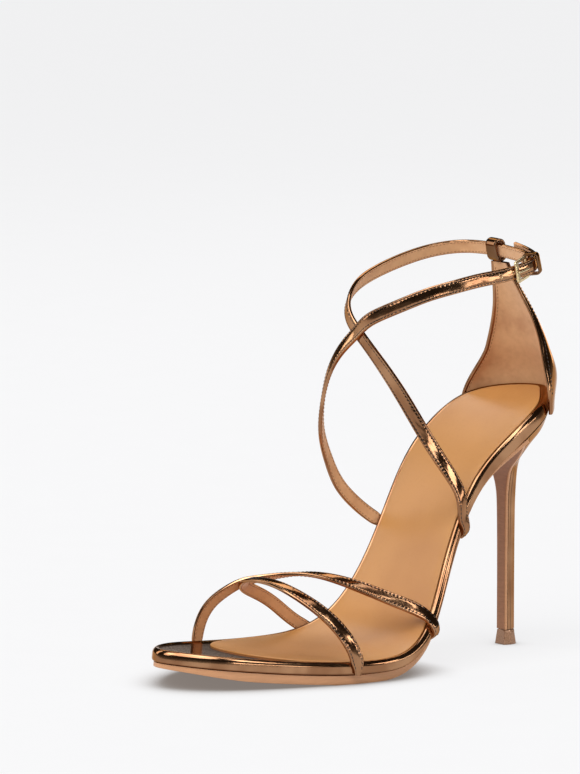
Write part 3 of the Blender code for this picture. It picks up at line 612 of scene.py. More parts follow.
def dish(along, share, chord):
    """How far the footbed's middle sinks below a straight line between its edges."""
    deep = SEAT_DISH * ease(along, 0.55, 0.8) * ease(chord, 0, BALL_WIDTH / 2)
    return deep * (1 - (2 * share - 1) ** 2)


def filled(left, right, along=None):
    """Points between two edge points, sunk by the dish where a station is given."""
    points = []
    chord = np.linalg.norm(right - left)
    for share in FILL:
        point = left + (right - left) * share
        if along is not None:
            point = point - RIM.upward(along) * dish(along, share, chord)
        points.append(point)
    return points


def both_sides(turn, edge):
    """An edge's insets and drops, as points on the inner side and on the outer side."""
    return [[RIM.offset(side, inset, drop) for inset, drop in edge]
            for side in (turn, 2 * math.pi - turn)]


class Heel:
    """The heel's rows, each with its breast line in front and its back point."""

    def __init__(self):
        lip = [self.seat(LIP_ALONG, outer) for outer in (False, True)]
        seat_back = self.seat(1.0, False)
        self.lip = (lip[0] + lip[1]) / 2
        self.lip_half = (lip[1][0] - lip[0][0]) / 2
        knots = np.arange(len(HEEL))
        rows = Smooth(knots, HEEL)(np.linspace(0, knots[-1], HEEL_ROWS))
        reach, rise, half, retreat, climb, self.pinch = rows.T
        front = STEM_FRONT + reach * (self.lip[1] - STEM_FRONT)
        back = STEM_BACK + retreat * (seat_back[1] - STEM_BACK)
        floor = TIP_HEIGHT + GAP
        low = floor + rise * (self.lip[2] - floor)
        high = floor + climb * (seat_back[2] - floor)
        self.breast = np.stack([front, low], -1)
        self.back = np.stack([back, high], -1)
        self.half = STEM_HALF_WIDTH + half * (self.lip_half - STEM_HALF_WIDTH)
        self.middle = ease(reach, 0.0, 0.6) * self.lip[0]
        last = np.linalg.norm(self.breast[-1] - self.breast[-2])
        self.ratio = np.linalg.norm(self.lip[1:] - self.breast[-1]) / last

    def seat(self, along, outer):
        """A point of the heel's upper edge, under the board."""
        drop = board_thickness(along) + GAP
        return RIM.offset(RIM.side(along, outer), HEEL_MARGIN, drop)

    def ring(self, row):
        """One section: round the back from the outer edge, then along the breast."""
        points = []
        for turn in np.linspace(0, math.pi, HEEL_SIDES + 1):
            power = self.pinch[row]
            wide = math.copysign(abs(math.cos(turn)) ** power, math.cos(turn))
            deep = max(math.sin(turn), 0) ** power
            y, z = self.breast[row] + (self.back[row] - self.breast[row]) * deep
            points.append(np.array([self.middle[row] + self.half[row] * wide, y, z]))
        return np.array(points + filled(points[-1], points[0]))

    def seat_ring(self):
        """The topmost section, which follows the underside of the board."""
        points = []
        for turn in np.linspace(0, math.pi, HEEL_SIDES + 1):
            along = LIP_ALONG + (1 - LIP_ALONG) * min(math.sin(turn), 1)
            points.append(self.seat(along, turn < math.pi / 2))
        return np.array(points + filled(points[-1], points[0]))

    def onward(self, before, last, end):
        """Rows from the last one to the end that leave the last one without a kink."""
        chord = end - last
        lead = (last - before) * self.ratio
        shares = np.linspace(0, 1, HEEL_LIP_ROWS + 1)[1:]
        return [last + chord * t + (lead - chord) * t * (1 - t) ** 2 for t in shares]

    def rings(self):
        """All sections from the tip to the seat."""
        rows = [self.ring(row) for row in range(HEEL_ROWS)]
        return np.array(rows + self.onward(rows[-2], rows[-1], self.seat_ring()))

    def breast_rows(self):
        """The breast line, its half widths and its middles from the tip to the lip."""
        breast = self.onward(self.breast[-2], self.breast[-1], self.lip[1:])
        half = self.onward(self.half[-2], self.half[-1], self.lip_half)
        middle = self.onward(self.middle[-2], self.middle[-1], self.lip[0])
        return (np.concatenate([self.breast, breast]), np.append(self.half, half),
                np.append(self.middle, middle))


FORM = Heel()

# Which way a strap's outer face looks where its end lies on the wall or under the board
ASIDE, SLANTED, DOWN = range(3)


def route_points(route, names, kind):
    """A route's points in metres."""
    across, along, rise, layer = (column(route, names, name) for name in names)
    if kind == "toe":
        y = HEEL_OVERHANG - FOOTBED_LENGTH * (1 - along)
        return np.stack([across * BALL_WIDTH, y, TREAD + rise * TOE_STRAP_RISE], -1), layer
    y = COLLAR_BACK - along * COLLAR_DEPTH
    return np.stack([across * COLLAR_HALF_WIDTH, y, SEAT_HEIGHT + rise * COLLAR_RISE], -1), layer


def outward_from(core, points):
    """The direction in which each point lies from the nearest stretch of a core line."""
    knots = np.arange(len(core))
    line = Smooth(knots, core)(np.linspace(0, knots[-1], CORE_POINTS))
    away = points[:, None] - line[None]
    weight = np.sum(away**2, axis=-1) ** -CORE_PULL
    return unit(np.sum(away * weight[..., None], axis=1) / weight.sum(1)[:, None])


def wall_points(stations, outer):
    """Where a strap's end lies on the wrapped wall, and which way it faces: foot, then top.

    Where the outsole stands back from the rim, the foot is tucked under the board, and
    it keeps its slant to the rim all the way.
    """
    out = GAP + STRAP_THICKNESS / 2
    top, foot = stations
    depth = board_thickness(foot)
    if outsole_margin(foot) < OUTSOLE_MARGIN_WAIST - GAP:
        steps = [(1, -out, depth - FOOT_LIFT, ASIDE)]
    else:
        reach, low = BOARD_LOW_ROUND + out, depth - BOARD_LOW_ROUND
        slant, wall = reach * math.sqrt(0.5), low - depth * WALL_TOP
        quarter = reach * math.pi / 2 / wall
        steps = [
            (1 + quarter + BOARD_LOW_ROUND / wall, 2 * BOARD_LOW_ROUND, low + reach, DOWN),
            (1 + quarter, BOARD_LOW_ROUND, low + reach, DOWN),
            (1 + quarter / 2, BOARD_LOW_ROUND - slant, low + slant, SLANTED),
            (1, -out, low, ASIDE),
        ]
    steps.append((0, -out, depth * WALL_TOP, ASIDE))
    feet, outs = [], []
    for share, inset, drop, facing in steps:
        along = top + (foot - top) * share
        turn = RIM.side(along, outer)
        feet.append(RIM.offset(turn, inset, drop))
        aside, down = -RIM.inward(turn), -RIM.upward(along)
        outs.append((aside, unit(aside + down), down)[facing])
    return np.array(feet), np.array(outs)


def calmed(values, length, free):
    """Values along a strap, averaged over a length wherever the strap hangs free."""
    reach = int(3 * length / STRAP_PITCH)
    weight = np.exp(-0.5 * (np.arange(-reach, reach + 1) * STRAP_PITCH / length) ** 2)
    padded = np.pad(values, ((reach, reach), (0, 0)), mode="edge")
    mean = np.stack([np.convolve(part, weight / weight.sum(), "valid") for part in padded.T], -1)
    return values + (mean - values) * free[:, None]


class Strap:
    """A strap's middle line and the way that its outer face looks."""

    def __init__(self, route, kind, start=None, end=None):
        names, core = (TOE_COLUMNS, TOE_CORE) if kind == "toe" else (ANKLE_COLUMNS, ANKLE_CORE)
        middle = route_points(core, names, kind)[0]
        points, layer = route_points(route, names, kind)
        facing = outward_from(middle, points)
        points = points + facing * (layer * (STRAP_THICKNESS - SEAM_BITE) / 2)[:, None]
        self.first = last = 0
        for place, first in ((start, True), (end, False)):
            if place is None:
                continue
            feet, outs = wall_points(*place)
            if first:
                self.first = len(feet)
                points, facing = np.concatenate([feet, points]), np.concatenate([outs, facing])
            else:
                last = len(feet)
                points = np.concatenate([points, feet[::-1]])
                facing = np.concatenate([facing, outs[::-1]])
        self.points = points
        self.knots = run_along(points)
        near, far = self.knots[max(self.first - 1, 0)], self.knots[-max(last, 1)]
        self.held = (near, far)
        fine = np.linspace(0, self.knots[-1], int(self.knots[-1] / STRAP_PITCH) + 1)
        free = ease(fine - near, FOOT_HOLD, FOOT_REACH) * ease(far - fine, FOOT_HOLD, FOOT_REACH)
        self.line = Smooth(fine, calmed(Smooth(self.knots, points)(fine), CALM_PATH, free))
        self.face = Smooth(fine, calmed(Smooth(self.knots, facing)(fine), CALM_FACE, free))

    def slimmed(self, at):
        """The share of its width that the strap keeps where it is tucked under the board."""
        near, far = self.held
        tucked = ease(near + TUCK_REACH - at, 0, near + TUCK_REACH) if self.first else 0.0
        if far < self.knots[-1]:
            tucked = tucked + ease(at - far + TUCK_REACH, 0, self.knots[-1] - far + TUCK_REACH)
        return 1 - TUCK_SHARE * tucked

    def heading(self, at):
        """The way that the strap runs at a distance along."""
        return unit(self.line(at + AHEAD) - self.line(at - AHEAD))

    def frame(self, at):
        """Middle, outward direction and width direction at a distance along.

        Round the rim, the strap folds without a twist, so its width keeps the direction
        that it has at the top of the wall.
        """
        at = np.asarray(at, float)
        held = np.clip(at, *self.held)
        heading = self.heading(at)
        width = np.cross(self.heading(held), self.face(held))
        width = unit(width - heading * np.sum(width * heading, axis=-1, keepdims=True))
        return self.line(at), np.cross(width, heading), width

    def at_row(self, row):
        """The distance along the strap at which it passes a row of its route."""
        at = np.linspace(0, self.knots[-1], SEARCH_POINTS)
        away = np.linalg.norm(self.line(at) - self.points[self.first + row], axis=1)
        return float(at[np.argmin(away)])


TOE_OVER = Strap(TOE_STRAP, "toe", (TOE_STRAP_INNER, False), (TOE_STRAP_OUTER, True))
TOE_UNDER = Strap(BALL_STRAP, "toe", (BALL_STRAP_INNER, False), (BALL_STRAP_OUTER, True))
ANKLE_FRONT = Strap(FRONT_STRAP, "ankle", (FRONT_STRAP_INNER, False))
ANKLE_BACK = Strap(BACK_STRAP, "ankle", (BACK_STRAP_OUTER, True))
HELD = ANKLE_FRONT.at_row(BUCKLE_POINT)
PRONG_HOLE = HELD + BUCKLE_LENGTH / 2 - PRONG_HOLE_BACK


class Wire:
    """A socket whose arithmetic adds Math nodes."""

    def __init__(self, finish, socket):
        self.finish = finish
        self.socket = socket

    def result(self, operation, first, second=0.0):
        """What one Math node gives."""
        return self.finish.wire("ShaderNodeMath", {0: first, 1: second}, operation=operation)

    def part(self, axis):
        """One coordinate of a place."""
        return self.finish.wire("ShaderNodeSeparateXYZ", {0: self}, axis)

    def __add__(self, other):
        return self.result("ADD", self, other)

    def __sub__(self, other):
        return self.result("SUBTRACT", self, other)

    def __rsub__(self, other):
        return self.result("SUBTRACT", other, self)

    def __mul__(self, other):
        return self.result("MULTIPLY", self, other)

    def __abs__(self):
        return self.result("ABSOLUTE", self)

    __radd__ = __add__
    __rmul__ = __mul__


class Finish:
    """A material under construction: its principled shader and the nodes that feed it."""

    def __init__(self, name, **constants):
        self.material = bpy.data.materials.new(name)
        self.material.use_nodes = True
        self.tree = self.material.node_tree
        self.shader = self.tree.nodes["Principled BSDF"]
        for socket, value in constants.items():
            self.shader.inputs[socket.replace("_", " ")].default_value = value

    def node(self, kind, inputs=None, **settings):
        """A node of a type, its settings first and then its sockets' values or links."""
        made = self.tree.nodes.new(kind)
        for name, value in settings.items():
            setattr(made, name, value)
        for name, value in (inputs or {}).items():
            self.feed(made.inputs[name], value)
        return made

    def feed(self, socket, value):
        """Link a wire to a socket, or set the socket's own value."""
        if isinstance(value, Wire):
            self.tree.links.new(value.socket, socket)
        else:
            socket.default_value = value

    def wire(self, kind, inputs=None, output=0, **settings):
        """One output of a new node."""
        return Wire(self, self.node(kind, inputs, **settings).outputs[output])

    def coordinates(self, scale=(1, 1, 1), source="Object"):
        """The piece's own coordinates, stretched."""
        place = self.wire("ShaderNodeTexCoord", output=source)
        return self.wire("ShaderNodeMapping", {"Vector": place, "Scale": scale})

    def noise(self, scale, detail=2.0, roughness=0.5, stretch=(1, 1, 1), source="Object"):
        """Soft noise from 0 to 1 with a number of lumps to the metre."""
        return self.wire("ShaderNodeTexNoise", {
            "Vector": self.coordinates(stretch, source), "Scale": scale,
            "Detail": detail, "Roughness": roughness})

    def cells(self, scale):
        """The pebbles of a grain: the distance to the nearest edge between them."""
        return self.wire("ShaderNodeTexVoronoi", {
            "Vector": self.coordinates(), "Scale": scale}, feature="DISTANCE_TO_EDGE")

    def step(self, value, low, high):
        """A soft step from 0 to 1 as a value goes from low to high."""
        return self.wire("ShaderNodeMapRange", {
            "Value": value, "From Min": low, "From Max": high}, interpolation_type="SMOOTHSTEP")

    def mixed(self, factor, first, second):
        """One colour turning into another."""
        made = self.node("ShaderNodeMix", data_type="RGBA")
        self.feed(made.inputs[0], factor)
        for socket, value in ((made.inputs[6], first), (made.inputs[7], second)):
            self.feed(socket, value if isinstance(value, Wire) else (*value, 1.0))
        return Wire(self, made.outputs[2])

    def bumped(self, height, distance, strength=1.0, below=None):
        """A normal raised by a height, over the one below it."""
        inputs = {"Height": height, "Distance": distance, "Strength": strength}
        if below is not None:
            inputs["Normal"] = below
        return self.wire("ShaderNodeBump", inputs)

    def done(self, **links):
        """Link the shader's varying sockets and give the material."""
        for socket, value in links.items():
            self.feed(self.shader.inputs[socket.replace("_", " ")], value)
        return self.material


def dimmed(colour, share):
    """A colour with a share of its light."""
    return tuple(share * part for part in colour)


def mirror_film(colours, name, lumps, shade=1.0):
    """A metal film with soft clouds: the material, its colour and its deepest tone."""
    made = Finish(name, Metallic=1.0, Coat_Weight=0.10, Coat_Roughness=0.04,
                  Specular_Tint=(*colours.bronze_edge, 1.0))
    # A shade below one dims both tones of the film: a darker copy of the same leather, for painted
    # shade
    deep = dimmed(colours.bronze_deep, shade)
    cloud = made.step(made.noise(lumps), 0.35, 0.68)
    return made, made.mixed(cloud, deep, dimmed(colours.bronze, shade)), deep


def mirror_done(made, colour, relief, gloss, haze):
    """The film with its grain over a relief, and its haze over a gloss."""
    grain = made.bumped(made.noise(1500, 3.0, 0.6), 0.005 * MM, below=relief)
    return made.done(Base_Color=colour, Roughness=gloss + made.noise(240, 3.0) * haze, Normal=grain)


def bronze_leather(colours, name, shade=1.0, ripple=0.06 * MM, edge=None, pitch=None):
    """Mirror leather that ripples, and puckers where a seam runs at a distance from its edge."""
    made, colour, deep = mirror_film(colours, name, 70, shade)
    pores = made.step(made.noise(2600), 0.66, 0.78)
    colour = made.mixed(pores * 0.35, colour, dimmed(deep, 0.25))
    if edge is None:
        return mirror_done(made, colour, made.bumped(made.noise(130, 1.0), ripple), 0.07, 0.11)
    place = made.coordinates(source="UV")
    aside = abs(abs(place.part(1)) - edge)
    # Painted shade: along each seam's sunken groove the colour is dimmed towards the deepest tone
    groove = 1 - made.step(aside, 0.05 * MM, 0.34 * MM)
    colour = made.mixed(groove * 0.4, colour, dimmed(deep, 0.12))
    turn = place.part(0) * (2 * math.pi / pitch)
    pucker = (1 - made.step(aside, 0.1 * MM, 0.75 * MM)) * turn.result("COSINE", turn)
    wave = made.bumped(made.noise(170, 2.0, 0.4, (0.55, 1.5, 1), "UV"), ripple)
    wave = made.bumped(pucker, 0.032 * MM, below=wave)
    return mirror_done(made, colour, wave, 0.07, 0.11)


def lining_leather(colours):
    """Soft tan lining with a short nap and faint smudges."""
    made = Finish("lining_leather", Sheen_Weight=0.25, Sheen_Roughness=0.5, IOR=1.4)
    smudge = made.step(made.noise(42, 4.0, 0.65), 0.47, 0.72)
    speck = made.step(made.noise(420, 3.0, 0.6), 0.35, 0.75)
    colour = made.mixed(smudge * 0.75, colours.lining, colours.lining_worn)
    colour = made.mixed(speck * 0.16, colour, dimmed(colours.lining_worn, 0.72))
    nap = made.bumped(made.noise(1900, 4.0, 0.65), 0.05 * MM, 0.7)
    return made.done(Base_Color=colour, Roughness=0.58 + speck * 0.14, Normal=nap)


def sock_leather(colours):
    """Smooth tan leather under the foot, with a fine grain."""
    made = Finish("sock_leather", Coat_Weight=0.3, Coat_Roughness=0.34, IOR=1.45)
    cloud = made.step(made.noise(17, 3.0, 0.55), 0.34, 0.70)
    speck = made.noise(700, 3.0, 0.6)
    colour = made.mixed(cloud, colours.sock, colours.sock_deep)
    colour = made.mixed(made.step(speck, 0.5, 0.8) * 0.10, colour, (0.30, 0.14, 0.05))
    soft = made.bumped(made.noise(60), 0.06 * MM)
    grain = made.bumped(made.cells(1500), 0.03 * MM, 0.6, soft)
    return made.done(Base_Color=colour, Roughness=0.40 + speck * 0.16, Normal=grain)


def sole_leather(name, colour, shade, scuffs):
    """Vegetable-tanned leather: fibres along the edge, faint scuffs on the face."""
    made = Finish(name, Coat_Weight=0.15, Coat_Roughness=0.3, IOR=1.45)
    deep = dimmed(colour, shade)
    fibre = made.noise(260, 4.0, 0.7, (1, 0.35, 5))
    base = made.mixed(made.step(fibre, 0.30, 0.74), colour, deep)
    worn = made.step(made.noise(900, 2.0, 0.6, (1, 0.06, 1)), 0.62, 0.74) * scuffs
    base = made.mixed(worn, base, dimmed(deep, 0.55))
    relief = made.bumped(fibre, 0.04 * MM, 0.6)
    relief = made.bumped(made.noise(1300, 3.0), 0.02 * MM, 0.6, relief)
    return made.done(Base_Color=base, Roughness=0.40 + fibre * 0.18, Normal=relief)


def gilt_metal(colours):
    """Polished gilt plating with hairline scratches."""
    made = Finish("gilt_metal", Metallic=1.0)
    hair = made.noise(1500, 2.0, 0.5, (1, 1, 0.08))
    colour = made.mixed(made.noise(300), colours.brass, dimmed(colours.brass, 0.72))
    relief = made.bumped(hair, 0.004 * MM, 0.5)
    return made.done(Base_Color=colour, Roughness=0.2 + hair * 0.14, Normal=relief)


def tip_plastic(colours):
    """The hard heel tip: gloss plastic with a metal film, scuffed at its foot."""
    made = Finish("tip_plastic", Coat_Weight=0.4, Coat_Roughness=0.15, Metallic=0.45)
    foot = 1 - made.step(made.coordinates().part(2), 0.2 * MM, 1.1 * MM)
    scuff = made.step(made.noise(900, 4.0, 0.7), 0.42, 0.66) * foot
    speck = made.noise(500, 3.0)
    colour = made.mixed(speck, colours.tip, dimmed(colours.tip, 0.78))
    colour = made.mixed(scuff * 0.6, colour, dimmed(colours.tip, 0.35))
    relief = made.bumped(made.noise(1100, 3.0), 0.012 * MM, 0.6)
    return made.done(Base_Color=colour, Roughness=0.24 + scuff * 0.3 + speck * 0.06, Normal=relief)


def thread_finish(name, colour):
    """Waxed thread: a soft sheen and a fine twist."""
    made = Finish(name, Sheen_Weight=0.2, IOR=1.45)
    strand = made.noise(3200, 2.0, 0.6)
    base = made.mixed(strand, colour, dimmed(colour, 0.6))
    relief = made.bumped(strand, 0.03 * MM)
    return made.done(Base_Color=base, Roughness=0.42 + strand * 0.2, Normal=relief)


def floor_finish(colours):
    """The pale studio floor, nearly even, with a contact shadow painted into its glow where
    something stands close.
    """
    made = Finish("studio_floor", Emission_Strength=0.90, Specular_IOR_Level=0.0)
    # Painted contact shadow: the glow turns to CONTACT_SHADE where other surfaces stand close
    near = made.wire("ShaderNodeAmbientOcclusion", {"Distance": CONTACT_REACH}, "AO")
    glow = made.mixed(made.step(near, 0.25, 0.95), CONTACT_SHADE, colours.floor)
    tooth = made.noise(40, 3.0)
    base = made.mixed(tooth, dimmed(colours.floor, 0.12), dimmed(colours.floor, 0.11))
    return made.done(Base_Color=base, Roughness=0.75 + tooth * 0.1, Emission_Color=glow)


def lofted(name, rings, materials, uv=None, closed=False, caps=(False, False), band=None):
    """A closed skin through rings of equal count, with a material for each band of faces."""
    rings = np.asarray(rings, float)
    count, size = rings.shape[:2]
    mesh = bmesh.new()
    layer = mesh.loops.layers.uv.new("along")
    rows = [[mesh.verts.new(point) for point in ring] for ring in rings]
    for i in range(count if closed else count - 1):
        k = (i + 1) % count
        for j in range(size):
            n = (j + 1) % size
            face = mesh.faces.new((rows[i][j], rows[i][n], rows[k][n], rows[k][j]))
            if band is not None:
                face.material_index = band[j]
            if uv is not None:
                for loop, (a, b) in zip(face.loops, ((i, j), (i, n), (i + 1, n), (i + 1, j))):
                    loop[layer].uv = uv[a, b]
    if caps[0] and not closed:
        mesh.faces.new(rows[0][::-1])
    if caps[1] and not closed:
        mesh.faces.new(rows[-1])
    return finished(name, mesh, materials)


def finished(name, mesh, materials):
    """Close the seams, turn the faces outward, make an object and smooth it."""
    bmesh.ops.remove_doubles(mesh, verts=mesh.verts, dist=WELD)
    bmesh.ops.dissolve_degenerate(mesh, edges=mesh.edges, dist=WELD)
    bmesh.ops.recalc_face_normals(mesh, faces=mesh.faces)
    data = bpy.data.meshes.new(name)
    mesh.to_mesh(data)
    mesh.free()
    made = bpy.data.objects.new(name, data)
    bpy.context.scene.collection.objects.link(made)
    for material in materials:
        data.materials.append(material)
    return smoothed(made)


def alone(made):
    """Select one object and nothing else."""
    bpy.ops.object.select_all(action="DESELECT")
    made.select_set(True)
    bpy.context.view_layer.objects.active = made
    return made


def modelled(operator, **settings):
    """Add one primitive, selected alone."""
    bpy.ops.object.select_all(action="DESELECT")
    operator(**settings)
    return bpy.context.object


def edit_all():
    """Open the active object's mesh with all of it selected."""
    bpy.ops.object.mode_set(mode="EDIT")
    bpy.ops.mesh.select_all(action="SELECT")


def modified(made, kind, **settings):
    """Give an object a modifier with its settings, and apply it."""
    alone(made)
    change = made.modifiers.new(kind.lower(), kind)
    for name, value in settings.items():
        setattr(change, name, value)
    bpy.ops.object.modifier_apply(modifier=change.name)


def smoothed(made, angle=SMOOTH_ANGLE):
    """Shade an object smooth, with sharp edges where it turns by more than an angle."""
    alone(made)
    bpy.ops.object.shade_smooth_by_angle(angle=math.radians(angle))
    return made


def placed(made, name, node, matrix=None):
    """Put a finished object's place in its mesh and tie it to the frame."""
    made.name = made.data.name = name
    made.data.transform((matrix or Matrix()) @ made.matrix_world)
    made.matrix_world = Matrix()
    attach(made, "root")
    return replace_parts(made, *node)


def turned_to(place, x_axis, y_axis, z_axis):
    """The matrix that carries a modelled piece to a place on the shoe."""
    made = Matrix.Identity(4)
    for i, axis in enumerate((x_axis, y_axis, z_axis, place)):
        for j in range(3):
            made[j][i] = axis[j]
    return made


def stamped(name, model, matrices, material):
    """Copies of one modelled mesh at many places, as one object."""
    points = np.empty(len(model.data.vertices) * 3)
    model.data.vertices.foreach_get("co", points)
    points = np.c_[points.reshape(-1, 3), np.ones(len(model.data.vertices))]
    faces = [tuple(face.vertices) for face in model.data.polygons]
    corners, joined = [], []
    for i, matrix in enumerate(matrices):
        corners.append(points @ np.array(matrix).T[:, :3])
        joined.extend(tuple(v + i * len(points) for v in face) for face in faces)
    data = bpy.data.meshes.new(name)
    data.from_pydata(np.concatenate(corners).tolist(), [], joined)
    data.materials.append(material)
    made = bpy.data.objects.new(name, data)
    bpy.context.scene.collection.objects.link(made)
    return smoothed(made, 60)


def stitch_model(sizes):
    """One stitch: a short thread, round in section and drawn in at both ends."""
    made = modelled(bpy.ops.mesh.primitive_uv_sphere_add, segments=8, ring_count=6, radius=0.5)
    edit_all()
    bpy.ops.transform.resize(value=(sizes.thread_width, sizes.thread_width, sizes.stitch_length))
    bpy.ops.object.mode_set(mode="OBJECT")
    return made


def outer_height(across, sizes):
    """The height of a strap's outer face: crowned, with a groove for each seam."""
    half = STRAP_WIDTH / 2
    crown = STRAP_CROWN * (1 - (across / half) ** 2)
    seam = (np.abs(across) - (half - sizes.stitch_inset)) / (0.2 * MM)
    return STRAP_THICKNESS / 2 + crown - sizes.groove_depth * np.exp(-seam**2)


def strap_outline(sizes):
    """A strap's section, with which stretches of it are lining."""
    half, deep, fold = STRAP_WIDTH / 2, STRAP_THICKNESS / 2, sizes.edge_fold
    seam = half - sizes.stitch_inset

    def folded(side, face, start):
        """The quarter round at one of the section's corners, from a starting turn."""
        return [(side * (half - fold) + fold * math.cos(turn),
                 face * (deep - fold) + fold * math.sin(turn))
                for turn in np.linspace(start, start + math.pi / 2, FOLD_STEPS)]

    flat = np.linspace(-half + fold, half - fold, 9)
    groove = seam + 0.15 * MM * np.array([2, 1, 0, -1, -2])
    near = np.array([half - fold, *groove, 0.55 * seam, 0.3 * seam])
    top = np.concatenate([near, [0], -near[::-1]])
    points = [(across, -deep) for across in flat]
    points += folded(1, -1, -math.pi / 2)[1:] + folded(1, 1, 0)[:-1]
    points += [(across, outer_height(across, sizes)) for across in top]
    points += folded(-1, 1, math.pi / 2)[1:] + folded(-1, -1, math.pi)[:-1]
    lining = [1] * (len(flat) - 1)
    return np.array(points), lining + [0] * (len(points) - len(lining))


def dent_at(at, folds):
    """How far the small folds press a strap's outer face in at a distance along."""
    return sum(depth * math.exp(-((at - place) / length) ** 2) for place, depth, length in folds)


def strap_piece(name, strap, node, materials, sizes, folds):
    """One strap: bronze outside and over its folded edges, lining inside."""
    section, band = strap_outline(sizes)
    rings, uv = [], []
    for at in np.linspace(0, strap.knots[-1], int(strap.knots[-1] / STRAP_PITCH) + 1):
        middle, out, width = strap.frame(at)
        deep = section[:, 1] - dent_at(at, folds) * (section[:, 1] > 0)
        rings.append(middle + width * section[:, :1] * strap.slimmed(at) + out * deep[:, None])
        uv.append([(at, across) for across in section[:, 0]])
    made = lofted(name, rings, materials, np.array(uv), caps=(True, True), band=band)
    return placed(made, name, (node,))


def strap_stitches(name, strap, node, finishes, sizes, model, inside, folds):
    """Two rows of stitches along one side of a strap."""
    seam, pitch = STRAP_WIDTH / 2 - sizes.stitch_inset, sizes.stitch_pitch
    matrices = []
    for side in (-1, 1):
        for at in np.arange(pitch, strap.knots[-1] - pitch, pitch):
            middle, out, width = strap.frame(at)
            face = outer_height(seam, sizes) - dent_at(at, folds)
            lift = -STRAP_THICKNESS / 2 if inside else face
            place = middle + width * seam * side * strap.slimmed(at) + out * lift
            matrices.append(turned_to(place, width, out, np.cross(width, out)))
    key, slot = ("lining_thread", "tan_leather") if inside else ("thread", "bronze_leather")
    return placed(stamped(name, model, matrices, finishes[key]), name, (node,))


def sewn_strap(name, strap, node, finishes, sizes, model, folds=()):
    """A strap with its stitches on both sides."""
    made = strap_piece(name, strap, node, finishes["strap"], sizes, folds)
    for part, inside in (("stitches", False), ("lining_stitches", True)):
        strap_stitches(f"{name}_{part}", strap, node, finishes, sizes, model, inside, folds)
    return made


def round_path(centre, wide, deep, half, depth, bend, steps=9):
    """The places and outward directions round a rectangle with round corners."""
    path = []
    for quarter, (sign_w, sign_d) in enumerate(((1, 1), (-1, 1), (-1, -1), (1, -1))):
        core = centre + wide * sign_w * (half - bend) + deep * sign_d * (depth - bend)
        for turn in np.linspace(0, math.pi / 2, steps) + quarter * math.pi / 2:
            out = wide * math.cos(turn) + deep * math.sin(turn)
            path.append((core + out * bend, out))
    return path


def leather_ring(name, node, centre, axes, opening, band, thickness, finishes, bend=BAND_BEND):
    """A strip of leather bent round into a loop, bronze outside and lining inside."""
    wide, deep = axes
    long = np.cross(wide, deep)
    half, depth = ((size + thickness) / 2 for size in opening)
    edge, skin = band / 2, thickness / 2
    soft = 0.3 * thickness
    right = [(edge, skin - soft), (edge - soft * 0.3, skin - soft * 0.3),
             (edge - soft, skin), (edge - 3 * soft, skin)]
    section = [(-edge, -skin + soft), (-edge + soft, -skin), (edge - soft, -skin),
               (edge, -skin + soft), *right, (0, skin + 0.1 * soft),
               *((-across, up) for across, up in right[::-1])]
    path = round_path(centre, wide, deep, half, depth, min(depth, thickness * bend))
    run = run_along([place for place, _ in path + path[:1]])
    rings = [[place + long * across + out * up for across, up in section] for place, out in path]
    uv = [[(gone, across) for across, _ in section] for gone in run]
    inside = [0, 1, 0] + [0] * (len(section) - 3)
    made = lofted(name, rings, finishes, np.array(uv), closed=True, band=inside)
    return placed(made, name, (node,))


class SANDAL_OT_footbed(bpy.types.Operator):
    """Builds the wrapped board and the sock on it"""

    bl_idname = "sandal.footbed"
    bl_label = "Footbed"

    def execute(self, context):
        colours = context.scene.sandal_colours
        sections = []
        for turn in rim_turns():
            along = (1 - math.cos(turn)) / 2
            depth, margin = board_thickness(along), sock_margin(along)
            lower = [(inset, depth - drop) for inset, drop in corner(BOARD_LOW_ROUND)][::-1]
            flat = [(inset, 0) for inset in np.linspace(margin, BOARD_TOP_ROUND, 8)[:-1]]
            upper = [(inset, drop - RIM_ROLL * math.sin(math.pi * min(inset / margin, 1)))
                     for inset, drop in flat + corner(BOARD_TOP_ROUND)]
            inner, outer = both_sides(turn, upper + lower)
            under, top = filled(inner[-1], outer[-1]), filled(outer[0], inner[0], along)
            sections.append(inner + under + outer[::-1] + top)
        # The board's flat top, round the sock and over the toes, takes a darker copy of the mirror
        # leather: painted shade
        flush = len(flat) + 1 + len(top)
        band = [1] * len(flat) + [0] * (len(sections[0]) - len(flat) - flush) + [1] * flush
        finishes = [bronze_leather(colours, "wrapped_board_leather", ripple=0.03 * MM),
                    bronze_leather(colours, "board_top_shaded_leather", shade=0.68, ripple=0.03 * MM)]
        made = lofted("wrapped_board", sections, finishes, band=band)
        placed(made, "wrapped_board", ("insole",))
        self.sock(colours)
        return {"FINISHED"}

    def sock(self, colours):
        """The sock, its front edge curved across the toes and its rim rounded."""
        stations = (1 - np.cos(rim_turns())) / 2
        front = SOCK_FRONT + (SOCK_FULL - SOCK_FRONT) * SOCK_FRONT_ROWS
        sections = []
        for along in [*front, *stations[stations > front[-1] + SOCK_JOIN]]:
            inner, outer = (RIM.offset(RIM.side(along, side), sock_margin(along), 0)
                            for side in (False, True))
            short = min((along - SOCK_FRONT) / (SOCK_FULL - SOCK_FRONT), 1)
            width = (1 - (1 - short) ** SOCK_ROUND) ** (1 / SOCK_ROUND)
            middle, reach = (inner + outer) / 2, (inner - outer) / 2 * width
            inner, outer = middle + reach, middle - reach
            up = RIM.upward(along)
            chord = np.linalg.norm(outer - inner)
            edge = (outer - inner) * min(SOCK_EDGE / max(chord, SOCK_EDGE), 0.3)
            near, far = [inner + up * SOCK_LOW], [outer + up * SOCK_LOW]
            for turn in np.linspace(0, math.pi / 2, FOLD_STEPS):
                rise = up * (SOCK_SHOWN - SOCK_EDGE * (1 - math.sin(turn)))
                inset = edge * (1 - math.cos(turn))
                near.append(inner + rise + inset)
                far.append(outer + rise - inset)
            sections.append(near + filled(near[-1], far[-1], along)
                            + far[::-1] + filled(far[0], near[0], along))
        made = lofted("sock_leather", sections, [sock_leather(colours)])
        placed(made, "sock_leather", ("sock",))


